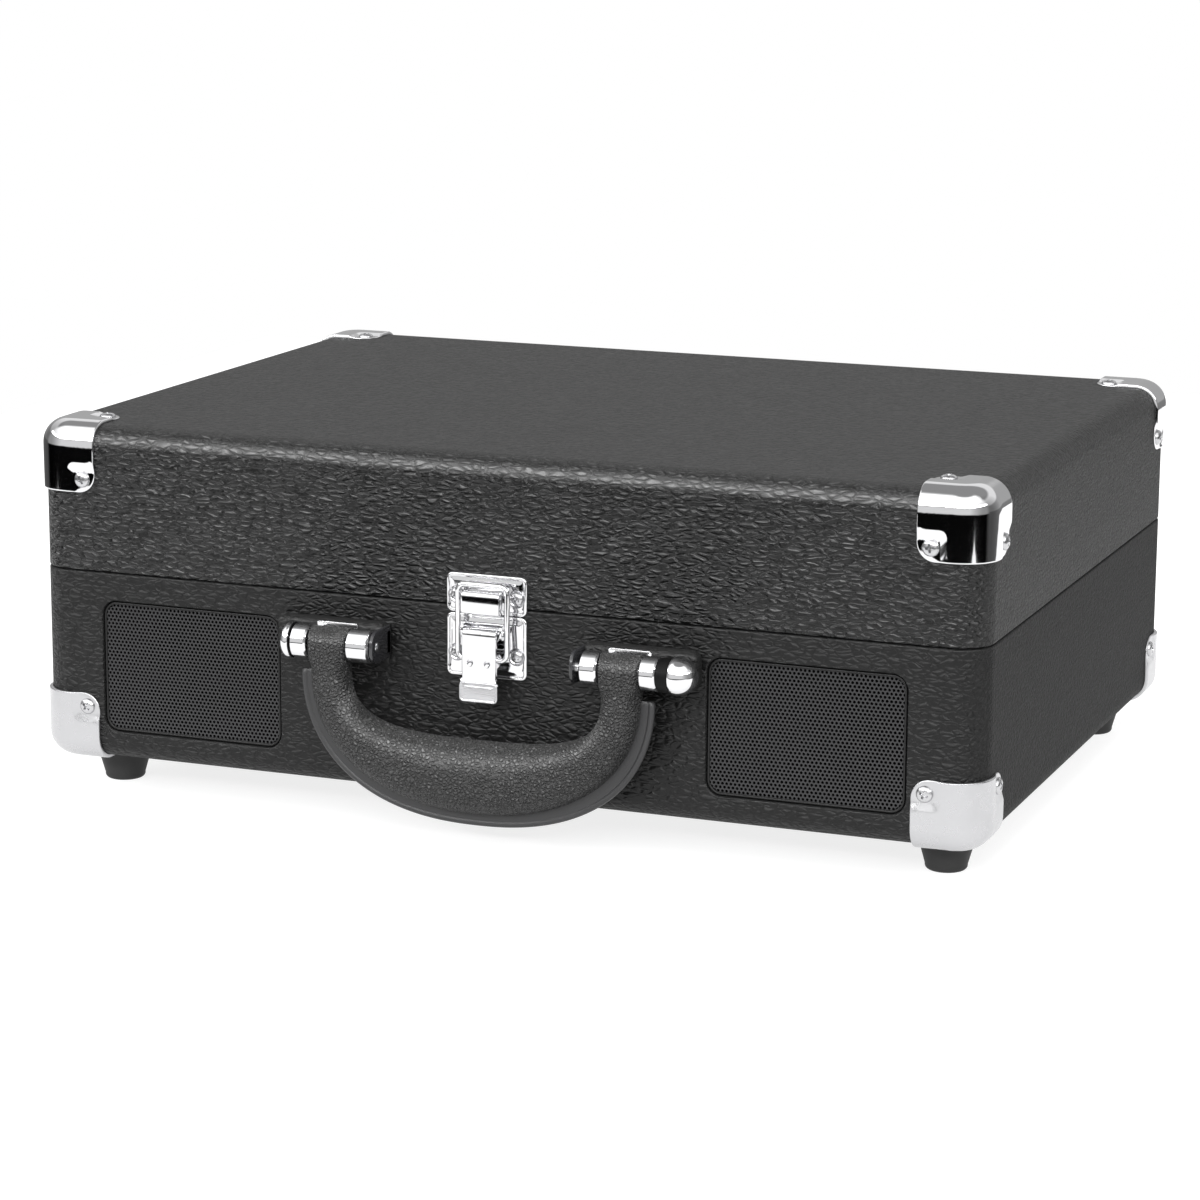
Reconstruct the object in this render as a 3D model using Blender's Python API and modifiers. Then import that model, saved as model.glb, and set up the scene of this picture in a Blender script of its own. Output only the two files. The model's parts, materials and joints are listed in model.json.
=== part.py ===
"""Suitcase record player, closed and standing on its four feet.

The case is drawn with its own centre at x = 0, y = 0 and the floor at z = 0, the front facing -Y.
One empty carries everything and moves it in y so that the whole object, with its handle in front and
its hinges behind, is centred on the origin. All sizes are in metres.
"""

import math

import bmesh
import bpy
from mathutils import Matrix, Vector

# Case: a wooden tray and lid covered in leatherette
HALF_WIDTH = 0.1775
HALF_DEPTH = 0.130
BASE_BOTTOM = 0.0137
BASE_TOP = 0.0831
LID_BOTTOM = 0.0835
LID_TOP = 0.1362
SIDE_RADIUS = 0.012
RIM_RADIUS = 0.008
ROUND_SEGMENTS = 4
WALL = 0.006
BASE_WALL = 0.009
LEDGE = 0.0742
LEDGE_HALF_WIDTH = 0.172
LEDGE_HALF_DEPTH = 0.1245
GAP = 0.0003
METAL = 0.001

# Corner protectors and feet
CORNER_REACH = 0.0243
CORNER_ROUND = 0.008
FOOT_X = 0.1584
FOOT_Y = 0.1027
FOOT_TOP_RADIUS = 0.0105
FOOT_BOTTOM_RADIUS = 0.0074
FOOT_HEIGHT = BASE_BOTTOM - GAP

# Loudspeakers behind pressed metal grilles
GRILLE_INNER = 0.0803
GRILLE_OUTER = 0.1514
GRILLE_LOW = 0.0245
GRILLE_HIGH = 0.073
GRILLE_RADIUS = 0.0055
GRILLE_RECESS = 0.0022
SPEAKER_RADIUS = 0.0245
SPEAKER_DEPTH = 0.028

# Carrying handle: barrel axis, grip outline and its raised welt
HANDLE_Y = -0.142
HANDLE_Z = 0.0683
GRIP_SPRING_Z = 0.060
GRIP_OUTER = (0.0612, 0.0473)
GRIP_INNER = (0.0474, 0.0214)
GRIP_OUTER_POWER = 2.2
GRIP_INNER_POWER = 3.2
WELT_OUTER = (0.0662, 0.0520)
WELT_POWER = 2.3
WELT_THICKNESS = 0.0026
GRIP_HALF_DEPTH = 0.0095
GRIP_END_HALF_DEPTH = 0.0058
GRIP_END = (0.0471, 0.0614)
GRIP_EYE_RADIUS = 0.0058
BARREL_RADIUS = 0.0054
DOME_RADIUS = 0.0058
HANDLE_PIN_RADIUS = 0.003

# Draw latch at the middle of the front
LATCH_HALF_WIDTH = 0.015
LATCH_PLATE_LOW = 0.0585
LATCH_SPLIT = 0.0808
LATCH_PLATE_HIGH = 0.0950
KEEPER_HALF_WIDTH = 0.0070
KEEPER_LOW = 0.0817
KEEPER_TOP = 0.0898
KEEPER_FRONT = -0.1375
LEVER_HALF_WIDTH = 0.0063
LEVER_AXIS = (-0.1346, 0.0756)
LOOP_AXIS = (-0.1350, 0.0658)
LOOP_TOP = 0.0920
LOOP_HALF_WIDTH = 0.009
WIRE_RADIUS = 0.0009
LATCH_PIN_RADIUS = 0.0008

# Butt hinges at the back
HINGE_Y = 0.1333
HINGE_Z = 0.0833
HINGE_X = 0.100
HINGE_HALF_LENGTH = 0.017
KNUCKLE_RADIUS = 0.0026
HINGE_PIN_RADIUS = 0.0012
LEAF_LOW = 0.064
LEAF_HIGH = 0.1026

# Deck, platter and drive
DECK_BOTTOM = 0.0745
DECK_TOP = 0.077
SPINDLE = (-0.040, 0.004)
SPINDLE_RADIUS = 0.0035
SPINDLE_TOP = 0.0968
PLATTER_RADIUS = 0.096
PLATTER_TOP = 0.085
MAT_RADIUS = 0.094
MAT_TOP = 0.0873
DRIVE_RING_RADIUS = 0.055
PULLEY_RADIUS = 0.004
PULLEY_DISTANCE = 0.067
PULLEY_ANGLE = math.radians(150)
BELT_THICKNESS = 0.0008
BELT_LOW = 0.0792
BELT_HIGH = 0.0816
MOTOR_RADIUS = 0.017

# Tonearm
ARM_PIVOT = (0.120, 0.075)
ARM_Z = 0.098
ARM_LENGTH = 0.188
ARM_RADIUS = 0.004
LIFT_BAR_RADIUS = 0.030
REST_Y = -0.035
CUE_AXIS = (0.062, 0.0845)
CUE_X = 0.140
CLIP_AXIS = (0.1262, 0.1042)
CLIP_OPEN = math.radians(100)

# Controls on the deck
VOLUME_AT = (0.152, -0.045)
MODE_AT = (0.152, -0.078)
KNOB_RADIUS = 0.0085
SPEED_AT = (0.072, 0.112)
SPEED_TRAVEL = 0.012
AUTOSTOP_AT = (0.028, 0.114)
AUTOSTOP_TRAVEL = 0.005
HEADPHONE_AT = (-0.150, -0.102)
ADAPTER_AT = (-0.148, 0.098)
ADAPTER_RADIUS = 0.019

# Sockets in the back
JACK_WINDOW = (-0.100, 0.025, 0.038, 0.012)

# The object's middle in y, from the grip's front to the hinge knuckles' back
FRONT_REACH = -HANDLE_Y + GRIP_HALF_DEPTH
BACK_REACH = HINGE_Y + KNUCKLE_RADIUS
CENTRE_SHIFT = (FRONT_REACH - BACK_REACH) / 2

LEATHERETTE = ("leatherette", (0.020, 0.020, 0.021), 0.55, 0.0)
CHROME = ("chrome", (0.85, 0.85, 0.86), 0.12, 1.0)
STEEL = ("steel", (0.62, 0.62, 0.63), 0.30, 1.0)
RUBBER = ("rubber", (0.012, 0.012, 0.012), 0.75, 0.0)
PLASTIC = ("black_plastic", (0.015, 0.015, 0.016), 0.35, 0.0)
MESH_METAL = ("grille_metal", (0.010, 0.010, 0.010), 0.45, 0.6)
PAPER = ("cone_paper", (0.030, 0.029, 0.028), 0.85, 0.0)
FELT = ("felt", (0.016, 0.016, 0.017), 0.95, 0.0)
BOARD = ("circuit_board", (0.020, 0.110, 0.045), 0.50, 0.0)
SHINY = ("gloss_plastic", (0.028, 0.028, 0.030), 0.18, 0.0)


def clear_scene():
    for existing in list(bpy.data.objects):
        bpy.data.objects.remove(existing, do_unlink=True)


def new_collection(name):
    made = bpy.data.collections.new(name)
    bpy.context.scene.collection.children.link(made)
    return made


clear_scene()
PARTS = new_collection("suitcase_record_player")
CUTTERS = new_collection("cutters")
CUTTERS.hide_render = True


def add_empty(name, place, parent=None):
    """An empty at a place given in case coordinates."""
    empty = bpy.data.objects.new(name, None)
    empty.empty_display_size = 0.01
    PARTS.objects.link(empty)
    if parent:
        empty.parent = parent
        empty.location = Vector(place) - Vector(parent["place"])
    else:
        empty.location = (0, CENTRE_SHIFT, 0)
    empty["place"] = tuple(place)
    return empty


ROOT = add_empty("record_player", (0, 0, 0))


def finish_of(spec):
    name, colour, roughness, metallic = spec
    material = bpy.data.materials.get(name)
    if material:
        return material
    material = bpy.data.materials.new(name)
    material.use_nodes = True
    shader = material.node_tree.nodes["Principled BSDF"]
    shader.inputs["Base Color"].default_value = (*colour, 1)
    shader.inputs["Roughness"].default_value = roughness
    shader.inputs["Metallic"].default_value = metallic
    material.diffuse_color = (*colour, 1)
    return material


def add_object(name, data, finish, pivot, smooth=False):
    """Links an object whose data is in case coordinates, with its origin on the pivot empty."""
    made = bpy.data.objects.new(name, data)
    place = Vector(pivot["place"])
    data.transform(Matrix.Translation(-place))
    made.parent = pivot
    if finish is None:
        CUTTERS.objects.link(made)
        made.hide_render = True
        made.display_type = "WIRE"
        return made
    PARTS.objects.link(made)
    data.materials.append(finish_of(finish))
    if smooth:
        data.shade_smooth()
        data.set_sharp_from_angle(angle=math.radians(35))
    return made


def add_mesh(name, bm, finish, pivot=ROOT, smooth=False):
    bmesh.ops.recalc_face_normals(bm, faces=bm.faces)
    mesh = bpy.data.meshes.new(name)
    bm.to_mesh(mesh)
    bm.free()
    return add_object(name, mesh, finish, pivot, smooth)


def modify(target, kind, other):
    """A Boolean modifier: kind is UNION, DIFFERENCE or INTERSECT."""
    modifier = target.modifiers.new(kind.lower(), "BOOLEAN")
    modifier.operation = kind
    modifier.object = other
    return target


def box(low, high):
    bm = bmesh.new()
    bmesh.ops.create_cube(bm, size=1)
    low = Vector(low)
    high = Vector(high)
    size = high - low
    bmesh.ops.scale(bm, vec=size, verts=bm.verts)
    bmesh.ops.translate(bm, vec=(low + high) / 2, verts=bm.verts)
    return bm


def bevel(bm, wanted, radius, segments):
    edges = [edge for edge in bm.edges if wanted(*(vert.co for vert in edge.verts))]
    bmesh.ops.bevel(
        bm, geom=edges, offset=radius, offset_type="OFFSET", segments=segments, profile=0.5, affect="EDGES"
    )
    return bm


def along(axis):
    """A test for the edges that run along one axis."""
    others = [i for i in range(3) if i != axis]
    return lambda a, b: all(abs(a[i] - b[i]) < 1e-7 for i in others)


def at_level(axis, value):
    return lambda a, b: abs(a[axis] - value) < 1e-7 and abs(b[axis] - value) < 1e-7


def round_box(low, high, axis, radius, segments=3):
    """A box with the four edges along one axis rounded."""
    return bevel(box(low, high), along(axis), radius, segments)


def case_box(bottom, top, grow, rounded_low, rounded_high, segments=ROUND_SEGMENTS):
    """The case's outer form, grown outward by a distance, with its rim rounded below or above."""
    half_x = HALF_WIDTH + grow
    half_y = HALF_DEPTH + grow
    bm = round_box((-half_x, -half_y, bottom), (half_x, half_y, top), 2, SIDE_RADIUS + grow, segments)
    if rounded_low:
        bevel(bm, at_level(2, bottom), RIM_RADIUS + grow, segments)
    if rounded_high:
        bevel(bm, at_level(2, top), RIM_RADIUS + grow, segments)
    return bm


def cylinder(centre, radius, length, axis, segments=16, end_radius=None):
    """A cylinder or cone with its middle at centre, along axis 0, 1 or 2."""
    bm = bmesh.new()
    end_radius = radius if end_radius is None else end_radius
    bmesh.ops.create_cone(
        bm, cap_ends=True, segments=segments, radius1=radius, radius2=end_radius, depth=length
    )
    if axis == 0:
        bmesh.ops.rotate(bm, cent=(0, 0, 0), matrix=Matrix.Rotation(math.pi / 2, 3, "Y"), verts=bm.verts)
    if axis == 1:
        bmesh.ops.rotate(bm, cent=(0, 0, 0), matrix=Matrix.Rotation(-math.pi / 2, 3, "X"), verts=bm.verts)
    bmesh.ops.translate(bm, vec=centre, verts=bm.verts)
    return bm


def turned(name, profile, centre, finish, axis=2, pivot=ROOT, steps=24, flip=1):
    """A Screw of a profile of (radius, height) that runs down its outer side, closed where it isn't on the axis."""
    mesh = bpy.data.meshes.new(name)
    points = [(radius, 0, height) for radius, height in profile]
    count = len(points)
    closed = profile[0][0] > 0 and profile[-1][0] > 0
    edges = [(i, i + 1) for i in range(count - 1)] + ([(count - 1, 0)] if closed else [])
    mesh.from_pydata(points, edges, [])
    made = add_object(name, mesh, finish, ROOT, smooth=False)
    made.parent = pivot
    made.location = Vector(centre) - Vector(pivot["place"])
    if axis == 0:
        made.rotation_euler = (0, flip * math.pi / 2, 0)
    if axis == 1:
        made.rotation_euler = (-flip * math.pi / 2, 0, 0)
    screw = made.modifiers.new("turn", "SCREW")
    screw.steps = steps
    screw.render_steps = steps
    screw.use_merge_vertices = True
    screw.merge_threshold = 0.00001
    screw.use_smooth_shade = True
    return made


def outline(name, loops, low, high, axis, finish, pivot=ROOT):
    """A flat outline, with holes, extruded along an axis between two levels and made a mesh."""
    curve = bpy.data.curves.new(name, "CURVE")
    curve.dimensions = "2D"
    curve.fill_mode = "BOTH"
    curve.extrude = (high - low) / 2
    for loop in loops:
        spline = curve.splines.new("POLY")
        spline.points.add(len(loop) - 1)
        spline.use_cyclic_u = True
        for point, (u, v) in zip(spline.points, loop):
            point.co = (u, v, 0, 1)
    source = bpy.data.objects.new(name + "_outline", curve)
    PARTS.objects.link(source)
    mesh = mesh_of(source)
    middle = (low + high) / 2
    if axis == 1:
        mesh.transform(Matrix.Rotation(math.pi / 2, 4, "X"))
        mesh.transform(Matrix.Translation((0, middle, 0)))
    else:
        mesh.transform(Matrix.Translation((0, 0, middle)))
    return add_object(name, mesh, finish, pivot)


def mesh_of(source):
    """A curve object's evaluated mesh, welded, with the curve removed."""
    graph = bpy.context.evaluated_depsgraph_get()
    mesh = bpy.data.meshes.new_from_object(source.evaluated_get(graph))
    bm = bmesh.new()
    bm.from_mesh(mesh)
    bmesh.ops.remove_doubles(bm, verts=bm.verts, dist=0.000005)
    bmesh.ops.recalc_face_normals(bm, faces=bm.faces)
    bm.to_mesh(mesh)
    bm.free()
    bpy.data.objects.remove(source, do_unlink=True)
    return mesh


def loft(rings):
    """Skins a row of closed rings of equal length and caps both ends."""
    bm = bmesh.new()
    rows = [[bm.verts.new(point) for point in ring] for ring in rings]
    count = len(rows[0])
    for first, second in zip(rows, rows[1:]):
        for i in range(count):
            j = (i + 1) % count
            bm.faces.new((first[i], first[j], second[j], second[i]))
    bm.faces.new(rows[0])
    bm.faces.new(reversed(rows[-1]))
    return bm


def case_shells(lid):
    """The covered tray and lid, each hollowed from its open side, and the lid's flocked lining."""
    base = add_mesh("base_shell", case_box(BASE_BOTTOM, BASE_TOP, 0, True, False), LEATHERETTE)
    inner_x = HALF_WIDTH - BASE_WALL
    inner_y = HALF_DEPTH - BASE_WALL
    cavity = box((-inner_x, -inner_y, BASE_BOTTOM + WALL), (inner_x, inner_y, 0.1))
    modify(base, "DIFFERENCE", add_mesh("base_cavity", cavity, None))
    ledge = box(
        (-LEDGE_HALF_WIDTH, -LEDGE_HALF_DEPTH, LEDGE), (LEDGE_HALF_WIDTH, LEDGE_HALF_DEPTH, 0.1)
    )
    modify(base, "DIFFERENCE", add_mesh("deck_ledge", ledge, None))
    for side, label in ((-1, "left"), (1, "right")):
        near, far = sorted((side * GRILLE_INNER, side * GRILLE_OUTER))
        front = -HALF_DEPTH
        pocket = round_box(
            (near, front - 0.01, GRILLE_LOW), (far, front + GRILLE_RECESS, GRILLE_HIGH), 1, GRILLE_RADIUS
        )
        modify(base, "DIFFERENCE", add_mesh(f"grille_pocket_{label}", pocket, None))
        window = cylinder(speaker_centre(side, front), SPEAKER_RADIUS - 0.003, 0.04, 1, 24)
        modify(base, "DIFFERENCE", add_mesh(f"speaker_window_{label}", window, None))
    x, half_x, z, half_z = JACK_WINDOW
    window = round_box((x - half_x, 0.1, z - half_z), (x + half_x, 0.15, z + half_z), 1, 0.003)
    modify(base, "DIFFERENCE", add_mesh("jack_window", window, None))

    shell = add_mesh("lid_shell", case_box(LID_BOTTOM, LID_TOP, 0, False, True), LEATHERETTE, lid)
    inner_x = HALF_WIDTH - WALL
    inner_y = HALF_DEPTH - WALL
    ceiling = LID_TOP - WALL
    cavity = box((-inner_x, -inner_y, 0.05), (inner_x, inner_y, ceiling))
    modify(shell, "DIFFERENCE", add_mesh("lid_cavity", cavity, None, lid))
    margin = 0.002
    lining = round_box(
        (margin - inner_x, margin - inner_y, ceiling - GAP - 0.0012),
        (inner_x - margin, inner_y - margin, ceiling - GAP),
        2,
        0.006,
    )
    add_mesh("lid_lining", lining, FELT, lid)


def speaker_centre(side, y):
    return (side * (GRILLE_INNER + GRILLE_OUTER) / 2, y, (GRILLE_LOW + GRILLE_HIGH) / 2)


def corner_protectors(lid):
    """Pressed steel corners: the case's form grown outward, less the case, within a rounded block."""
    forms = {}
    for name, bottom, top, low, pivot in (
        ("base", BASE_BOTTOM, BASE_TOP, True, ROOT),
        ("lid", LID_BOTTOM, LID_TOP, False, lid),
    ):
        for kind, grow in (("outer", GAP + METAL), ("inner", GAP)):
            edge = bottom - grow if low else top + grow
            span = (edge, top) if low else (bottom, edge)
            form = case_box(*span, grow, low, not low)
            forms[name, kind] = add_mesh(f"{name}_corner_{kind}", form, None, pivot)
    for name, level, up, pivot in (
        ("base", BASE_BOTTOM, 1, ROOT),
        ("lid", LID_TOP, -1, lid),
    ):
        for side_y, end in ((-1, "front"), (1, "back")):
            for side_x, hand in ((-1, "left"), (1, "right")):
                inner = Vector(
                    (
                        side_x * (HALF_WIDTH - CORNER_REACH + METAL),
                        side_y * (HALF_DEPTH - CORNER_REACH + METAL),
                        level + up * (CORNER_REACH - METAL),
                    )
                )
                outer = Vector((side_x * 0.2, side_y * 0.2, level - up * 0.03))
                low = [min(a, b) for a, b in zip(inner, outer)]
                high = [max(a, b) for a, b in zip(inner, outer)]

                def at_inner(a, b, inner=inner):
                    return min((a - inner).length, (b - inner).length) < 1e-7

                block = bevel(box(low, high), at_inner, CORNER_ROUND, 3)
                corner = add_mesh(f"corner_{name}_{end}_{hand}", block, CHROME, pivot)
                modify(corner, "INTERSECT", forms[name, "outer"])
                modify(corner, "DIFFERENCE", forms[name, "inner"])
                if name == "base":
                    centre = (side_x * FOOT_X, side_y * FOOT_Y, BASE_BOTTOM)
                    clearance = cylinder(centre, FOOT_TOP_RADIUS + 0.0006, 0.01, 2, 16)
                    modify(corner, "DIFFERENCE", add_mesh(f"foot_clearance_{end}_{hand}", clearance, None))


def feet():
    rounding = 0.0016
    profile = [
        (0, FOOT_HEIGHT),
        (FOOT_TOP_RADIUS, FOOT_HEIGHT),
        (FOOT_BOTTOM_RADIUS + 0.0004, rounding),
        (FOOT_BOTTOM_RADIUS - 0.0008, 0.0004),
        (FOOT_BOTTOM_RADIUS - 0.0020, 0),
        (0, 0),
    ]
    for side_y, end in ((-1, "front"), (1, "back")):
        for side_x, hand in ((-1, "left"), (1, "right")):
            turned(f"foot_{end}_{hand}", profile, (side_x * FOOT_X, side_y * FOOT_Y, 0), RUBBER, steps=16)


def speakers():
    """A grille in its pocket, and behind the wall a basket with its magnet and a paper cone in it."""
    for side, label in ((-1, "left"), (1, "right")):
        near, far = sorted((side * (GRILLE_INNER + 0.0004), side * (GRILLE_OUTER - 0.0004)))
        back = -HALF_DEPTH + GRILLE_RECESS - GAP
        plate = round_box(
            (near, back - METAL, GRILLE_LOW + 0.0004),
            (far, back, GRILLE_HIGH - 0.0004),
            1,
            GRILLE_RADIUS - 0.0004,
        )
        add_mesh(f"speaker_grille_{label}", plate, MESH_METAL)
        y = -HALF_DEPTH + BASE_WALL + GAP
        rim = 0.0018
        basket = [
            (0.0215, 0),
            (SPEAKER_RADIUS, 0),
            (SPEAKER_RADIUS, -rim),
            (0.0195, -0.012),
            (0.0195, -SPEAKER_DEPTH),
            (0, -SPEAKER_DEPTH),
            (0, -0.018),
            (0.008, -0.018),
            (0.0175, -0.0085),
            (0.0205, -rim),
        ]
        turned(
            f"speaker_frame_{label}", basket[1:] + basket[:1], speaker_centre(side, y), STEEL, 1, steps=20, flip=-1
        )
        cone = [
            (0.0188, -0.0014),
            (0.0194, -0.0022),
            (0.0172, -0.0076),
            (0.0080, -0.0168),
            (0, -0.0168),
            (0, -0.0135),
            (0.0050, -0.0150),
            (0.0070, -0.0158),
            (0.0160, -0.0070),
        ]
        turned(f"speaker_cone_{label}", cone, speaker_centre(side, y), PAPER, 1, steps=20, flip=-1)


def arch_point(reach, power, angle):
    """A point of the superellipse that hangs from the grip's springing line: angle 0 right, 90 down, 180 left."""
    c = math.cos(angle)
    s = math.sin(angle)
    x = math.copysign(abs(c) ** (2 / power), c) * reach[0]
    z = GRIP_SPRING_Z - max(s, 0) ** (2 / power) * reach[1]
    return x, z


def grip(handle):
    """The moulded grip: an arch with oval sections, fat in the middle, a welt round it and an eye at each end."""
    rings = []
    steps = 22
    sides = 12
    for step in range(-1, steps + 2):
        angle = math.pi * min(max(step / steps, 0), 1)
        raised = HANDLE_Z - GRIP_SPRING_Z if step in (-1, steps + 1) else 0
        outer = Vector(arch_point(GRIP_OUTER, GRIP_OUTER_POWER, angle))
        inner = Vector(arch_point(GRIP_INNER, GRIP_INNER_POWER, angle))
        middle = (outer + inner) / 2
        reach = (outer - inner) / 2
        swell = math.sin(angle) ** 0.7
        depth = GRIP_END_HALF_DEPTH + (GRIP_HALF_DEPTH - GRIP_END_HALF_DEPTH) * swell
        ring = []
        for i in range(sides):
            turn = 2 * math.pi * i / sides
            c = math.cos(turn)
            s = math.sin(turn)
            u = math.copysign(abs(c) ** 0.8, c)
            v = math.copysign(abs(s) ** 0.8, s)
            ring.append((middle.x + reach.x * u, HANDLE_Y + depth * v, middle.y + reach.y * u + raised))
        rings.append(ring)
    body = add_mesh("handle_grip", loft(rings), LEATHERETTE, handle)
    welt_rings = []
    for step in range(1, steps):
        angle = math.pi * step / steps
        outer = Vector(arch_point(WELT_OUTER, WELT_POWER, angle))
        inner = Vector(arch_point(GRIP_OUTER, GRIP_OUTER_POWER, angle)) * 0.96 + Vector((0, 0.04 * 0.055))
        low = HANDLE_Y - WELT_THICKNESS / 2 + 0.001
        high = low + WELT_THICKNESS
        welt_rings.append(
            [(outer.x, low, outer.y), (outer.x, high, outer.y), (inner.x, high, inner.y), (inner.x, low, inner.y)]
        )
    modify(body, "UNION", add_mesh("grip_welt", loft(welt_rings), None, handle))
    for side, label in ((-1, "left"), (1, "right")):
        length = GRIP_END[1] - GRIP_END[0]
        centre = (side * (GRIP_END[0] + length / 2), HANDLE_Y, HANDLE_Z)
        eye = cylinder(centre, GRIP_EYE_RADIUS, length, 0, 16)
        modify(body, "UNION", add_mesh(f"grip_eye_{label}", eye, None, handle))
        bore = cylinder(centre, HANDLE_PIN_RADIUS + GAP, length + 0.01, 0, 16)
        modify(body, "DIFFERENCE", add_mesh(f"grip_bore_{label}", bore, None, handle))


def handle_mounts():
    """On each side a block on the case, and a bright barrel with a pin through the grip's eye and a domed end."""
    inner_end = 0.0366
    outer_end = 0.0790
    for side, label in ((-1, "left"), (1, "right")):
        near, far = sorted((side * inner_end, side * outer_end))
        back = -HALF_DEPTH - GAP
        front = HANDLE_Y + GRIP_EYE_RADIUS + 2 * GAP
        block = round_box((near, front, HANDLE_Z - 0.0068), (far, back, HANDLE_Z + 0.0068), 1, 0.0015, 2)
        bracket = add_mesh(f"handle_bracket_{label}", block, LEATHERETTE)
        near, far = sorted((side * inner_end, side * 0.0392))
        cheek = round_box(
            (near, HANDLE_Y - 0.0046, HANDLE_Z - 0.0058), (far, front + 0.001, HANDLE_Z + 0.0058), 0, 0.0035, 3
        )
        modify(bracket, "UNION", add_mesh(f"bracket_cheek_{label}", cheek, None))
        profile = [
            (0, 0.0817),
            (0.0024, 0.0813),
            (0.0042, 0.0798),
            (0.0053, 0.0775),
            (DOME_RADIUS, 0.0745),
            (DOME_RADIUS, 0.0680),
            (0.0048, 0.0677),
            (0.0048, 0.0674),
            (BARREL_RADIUS, 0.0671),
            (BARREL_RADIUS, 0.0618),
            (HANDLE_PIN_RADIUS, 0.0618),
            (HANDLE_PIN_RADIUS, 0.0467),
            (BARREL_RADIUS, 0.0467),
            (BARREL_RADIUS, 0.0396),
            (0, 0.0396),
        ]
        turned(
            f"handle_pivot_{label}", profile, (0, HANDLE_Y, HANDLE_Z), CHROME, 0, steps=16, flip=side
        )


def latch(lid, lever_pivot, loop_pivot):
    """A draw latch: keeper on the lid, plate with two ears and a pin, lever on the pin, wire loop on the lever."""
    plate_back = -HALF_DEPTH - GAP
    plate_front = plate_back - METAL
    half = LATCH_HALF_WIDTH
    upper = round_box((-half, plate_front, LATCH_SPLIT + GAP), (half, plate_back, LATCH_PLATE_HIGH), 1, 0.0015, 2)
    keeper_plate = add_mesh("latch_keeper_plate", upper, CHROME, lid)
    hook = box(
        (-KEEPER_HALF_WIDTH, KEEPER_FRONT, KEEPER_LOW), (KEEPER_HALF_WIDTH, plate_front + 0.0004, KEEPER_TOP)
    )
    bevel(hook, at_level(1, KEEPER_FRONT), 0.0008, 2)
    modify(keeper_plate, "UNION", add_mesh("keeper_hook", hook, None, lid))

    lower = round_box((-half, plate_front, LATCH_PLATE_LOW), (half, plate_back, LATCH_SPLIT), 1, 0.0025, 3)
    base_plate = add_mesh("latch_base_plate", lower, CHROME)
    y, z = LEVER_AXIS
    for side, label in ((-1, "left"), (1, "right")):
        near, far = sorted((side * 0.0068, side * 0.0076))
        ear = round_box((near, y - 0.0018, z - 0.0025), (far, plate_front + 0.0004, z + 0.0025), 0, 0.0012, 2)
        modify(base_plate, "UNION", add_mesh(f"latch_ear_{label}", ear, None))
    pin = cylinder((0, y, z), LATCH_PIN_RADIUS, 0.0146, 0, 10)
    modify(base_plate, "UNION", add_mesh("latch_pin", pin, None))

    half = LEVER_HALF_WIDTH
    lever_front = -0.1386
    lever_back = lever_front + 0.0012
    strip = round_box((-half, lever_front, 0.0592), (half, lever_back, z + 0.0012), 0, 0.0004, 1)
    lever = add_mesh("latch_lever", strip, CHROME, lever_pivot)
    knuckle = box((-half, lever_back - 0.0004, z - 0.0018), (half, y + 0.0019, z + 0.0018))
    bevel(knuckle, along(0), 0.0009, 2)
    modify(lever, "UNION", add_mesh("lever_knuckle", knuckle, None, lever_pivot))
    loop_y, loop_z = LOOP_AXIS
    carrier = box((-half, lever_back - 0.0004, loop_z - 0.0024), (half, loop_y + 0.0022, loop_z + 0.0024))
    bevel(carrier, along(0), 0.0009, 2)
    modify(lever, "UNION", add_mesh("loop_carrier", carrier, None, lever_pivot))
    tab = round_box((-0.00725, lever_front - 0.0006, 0.0512), (0.00725, lever_front + 0.0006, 0.0596), 1, 0.0015, 2)
    modify(lever, "UNION", add_mesh("lever_tab", tab, None, lever_pivot))
    bore = cylinder((0, y, z), LATCH_PIN_RADIUS + GAP, 0.03, 0, 10)
    modify(lever, "DIFFERENCE", add_mesh("lever_bore", bore, None, lever_pivot))
    seat = cylinder((0, loop_y, loop_z), WIRE_RADIUS + GAP, 0.03, 0, 10)
    modify(lever, "DIFFERENCE", add_mesh("loop_seat", seat, None, lever_pivot))

    corners = 4
    bend = 0.0024
    points = []
    middles = (
        (LOOP_HALF_WIDTH - bend, LOOP_TOP - bend, 0),
        (bend - LOOP_HALF_WIDTH, LOOP_TOP - bend, 90),
        (bend - LOOP_HALF_WIDTH, loop_z + bend, 180),
        (LOOP_HALF_WIDTH - bend, loop_z + bend, 270),
    )
    for middle_x, middle_z, start in middles:
        for i in range(corners):
            angle = math.radians(start + 90 * i / (corners - 1))
            points.append((middle_x + bend * math.cos(angle), loop_y, middle_z + bend * math.sin(angle)))
    curve = bpy.data.curves.new("latch_loop", "CURVE")
    curve.dimensions = "3D"
    curve.bevel_depth = WIRE_RADIUS
    curve.bevel_resolution = 2
    spline = curve.splines.new("POLY")
    spline.points.add(len(points) - 1)
    spline.use_cyclic_u = True
    for point, place in zip(spline.points, points):
        point.co = (*place, 1)
    source = bpy.data.objects.new("latch_loop_wire", curve)
    PARTS.objects.link(source)
    add_object("latch_loop", mesh_of(source), CHROME, loop_pivot, smooth=True)


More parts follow.
